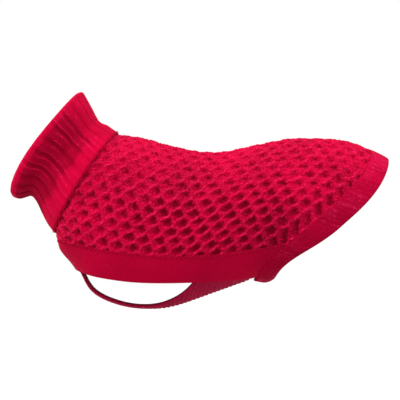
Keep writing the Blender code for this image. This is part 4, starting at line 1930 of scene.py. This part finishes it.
@dataclass
class Seam:
    """A row of stitches over a seam or along an edge."""

    kind: SeamKind
    form: GarmentForm
    collar: CollarForm
    pitch: float
    stitch: StitchSizes
    is_across: bool
    ring_places: int = 1500
    band_places: int = 900
    band_stand: float = 0.1
    collar_inset: float = 1.6
    collar_stand: float = 0.75

    def path(self) -> tuple[Grid, Grid]:
        """The seam's line.

        Returns:
            Its points and the cloth's normals at them.
        """
        angle = np.linspace(0, FULL_TURN, self.ring_places)
        if self.kind is SeamKind.COLLAR:
            place = np.full(self.ring_places, self.collar.length() - self.collar_inset)
            return self.collar.point(place, self.collar.press(place, angle) - self.collar_stand, angle)
        if self.kind is SeamKind.REAR:
            return self.form.face(np.full(self.ring_places, self.form.rear_seam), angle)
        return self.form.face(*both_sides(*self.form.edge(BAND_TOP_LINE, self.band_places)), self.band_stand)

    def build(self, material: bpy.types.Material) -> bpy.types.Object:
        """Sets the stitches along the line.

        Args:
            material: The yarn's material.

        Returns:
            The stitches as one piece.
        """
        line, outward = self.path()
        run = run_of(line)
        places = np.linspace(0, run[-1], max(2, round(run[-1] / self.pitch)) + 1)[:-1] + self.pitch / 2
        points, normal = (
            np.stack([np.interp(places, run, column) for column in rows.T], -1) for rows in (line, outward)
        )
        onward = np.gradient(points, axis=0)
        if self.is_across:
            onward = np.cross(normal, onward)
        mesh = bpy.data.meshes.new(self.kind.value)
        mesh.from_pydata((points * MM).tolist(), [], [])
        for label, values in (("outward", normal), ("onward", onward)):
            set_mark(mesh, label, values / np.linalg.norm(values, axis=1, keepdims=True))
        piece = linked(self.kind.value, mesh)
        StitchRecipe(self.kind.value, self.stitch, material).run(piece)
        piece.data.shade_smooth()
        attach(piece, BODY)
        log.info("%s: %d stitches, %d triangles", piece.name, len(points), triangles_of(piece))
        return piece


class Lamp(NamedTuple):
    """A square soft light: its name, its place and side in metres, and its power in watts."""

    name: str
    place: tuple[float, float, float]
    side: float
    power: float


LAMPS = (
    Lamp("key", (-1.1, -0.74, 1.42), 1.3, 37.5),
    Lamp("fill", (1.15, -0.4, 1.55), 1.3, 32.0),
    Lamp("side", (-1.9, -0.95, 0.2), 0.7, 16.5),
)
WHITE = (1.0, 1.0, 1.0, 1.0)


@dataclass(frozen=True)
class Studio:
    """A pale floor, soft light and the camera."""

    target: tuple[float, float, float] = (0.05, 0.0, -0.0575)
    eye: tuple[float, float, float] = (0.05, -1.1, -0.1135)
    lens: float = 99.0
    film: float = 36.0
    nearest: float = 0.01
    floor_z: float = -0.32
    floor_reach: float = 6.0

    def floor(self) -> None:
        """Lays the floor."""
        mesh = bpy.data.meshes.new("floor")
        reach = self.floor_reach
        corners = ((-reach, -reach), (reach, -reach), (reach, reach), (-reach, reach))
        mesh.from_pydata([(x, y, self.floor_z) for x, y in corners], [], [(0, 1, 2, 3)])
        material = bpy.data.materials.new("pale_floor")
        material.use_nodes = True
        shader = material.node_tree.nodes["Principled BSDF"]
        for label, value in {"Base Color": WHITE, "Roughness": 1.0, "Specular IOR Level": 0.0}.items():
            shader.inputs[label].default_value = value
        mesh.materials.append(material)
        floor = linked("floor", mesh)
        floor.visible_diffuse = False

    def aimed(self, name: str, data: bpy.types.ID, place: tuple[float, float, float]) -> bpy.types.Object:
        """Sets up a light or a camera that faces the sweater.

        Args:
            name: Its name.
            data: The light or the camera.
            place: Where it stands.

        Returns:
            The object.
        """
        thing = linked(name, data)
        thing.location = place
        thing.rotation_euler = (Vector(self.target) - Vector(place)).to_track_quat("-Z", "Y").to_euler()
        return thing

    def build(self) -> None:
        """Makes the floor, the lights, the white surround and the camera."""
        self.floor()
        for lamp in LAMPS:
            light = bpy.data.lights.new(lamp.name, "AREA")
            light.size = lamp.side
            light.energy = lamp.power
            self.aimed(lamp.name, light, lamp.place)
        scene = bpy.context.scene
        scene.world = bpy.data.worlds.new("white_room")
        scene.world.use_nodes = True
        surround = scene.world.node_tree.nodes["Background"]
        surround.inputs["Color"].default_value = WHITE
        surround.inputs["Strength"].default_value = 1.0
        scene.view_settings.view_transform = "Standard"
        scene.view_settings.look = "None"
        camera = bpy.data.cameras.new("camera")
        camera.lens, camera.sensor_width, camera.clip_start = self.lens, self.film, self.nearest
        scene.camera = self.aimed("camera", camera, self.eye)


def main() -> None:
    """Builds the studio, the pieces and the seams."""
    logging.basicConfig(level=logging.INFO, format="%(name)s %(message)s")
    collar = CollarForm()
    form = GarmentForm(collar)
    Studio().build()
    body = BodyPanel(
        form, collar, "body_panel", "honeycomb_knit", HONEYCOMB_KNIT, flat=(0.42, 0.34), area=0.080
    )
    neck = Collar(form, collar, "collar", "rib_collar", RIB_COLLAR, flat=(0.30, 0.12), area=None)
    legs = LegBand(form, collar, "leg_band", "fine_band", FINE_BAND, flat=(0.52, 0.034), area=0.0150)
    belly = BellyPanel(form, collar, "belly_panel", "belly_rib", BELLY_RIB, flat=(0.11, 0.22), area=0.0112)
    rear = RearBand(form, collar, "rear_band", "rear_edging", REAR_EDGING, flat=(0.38, 0.026), area=None)
    yarn = SEAM_YARN.material()
    for kind, cut, pitch, stitch, is_across in (
        (SeamKind.BAND, body, 1.9, BAND_STITCH, True),
        (SeamKind.COLLAR, neck, 2.3, COLLAR_STITCH, False),
        (SeamKind.REAR, rear, 2.1, REAR_STITCH, True),
    ):
        cut.trims.append(Seam(kind, form, collar, pitch, stitch, is_across).build(yarn))
    for cut in (body, neck, legs, belly, rear):
        cut.declare(cut.build())


if __name__ == "__main__":
    main()
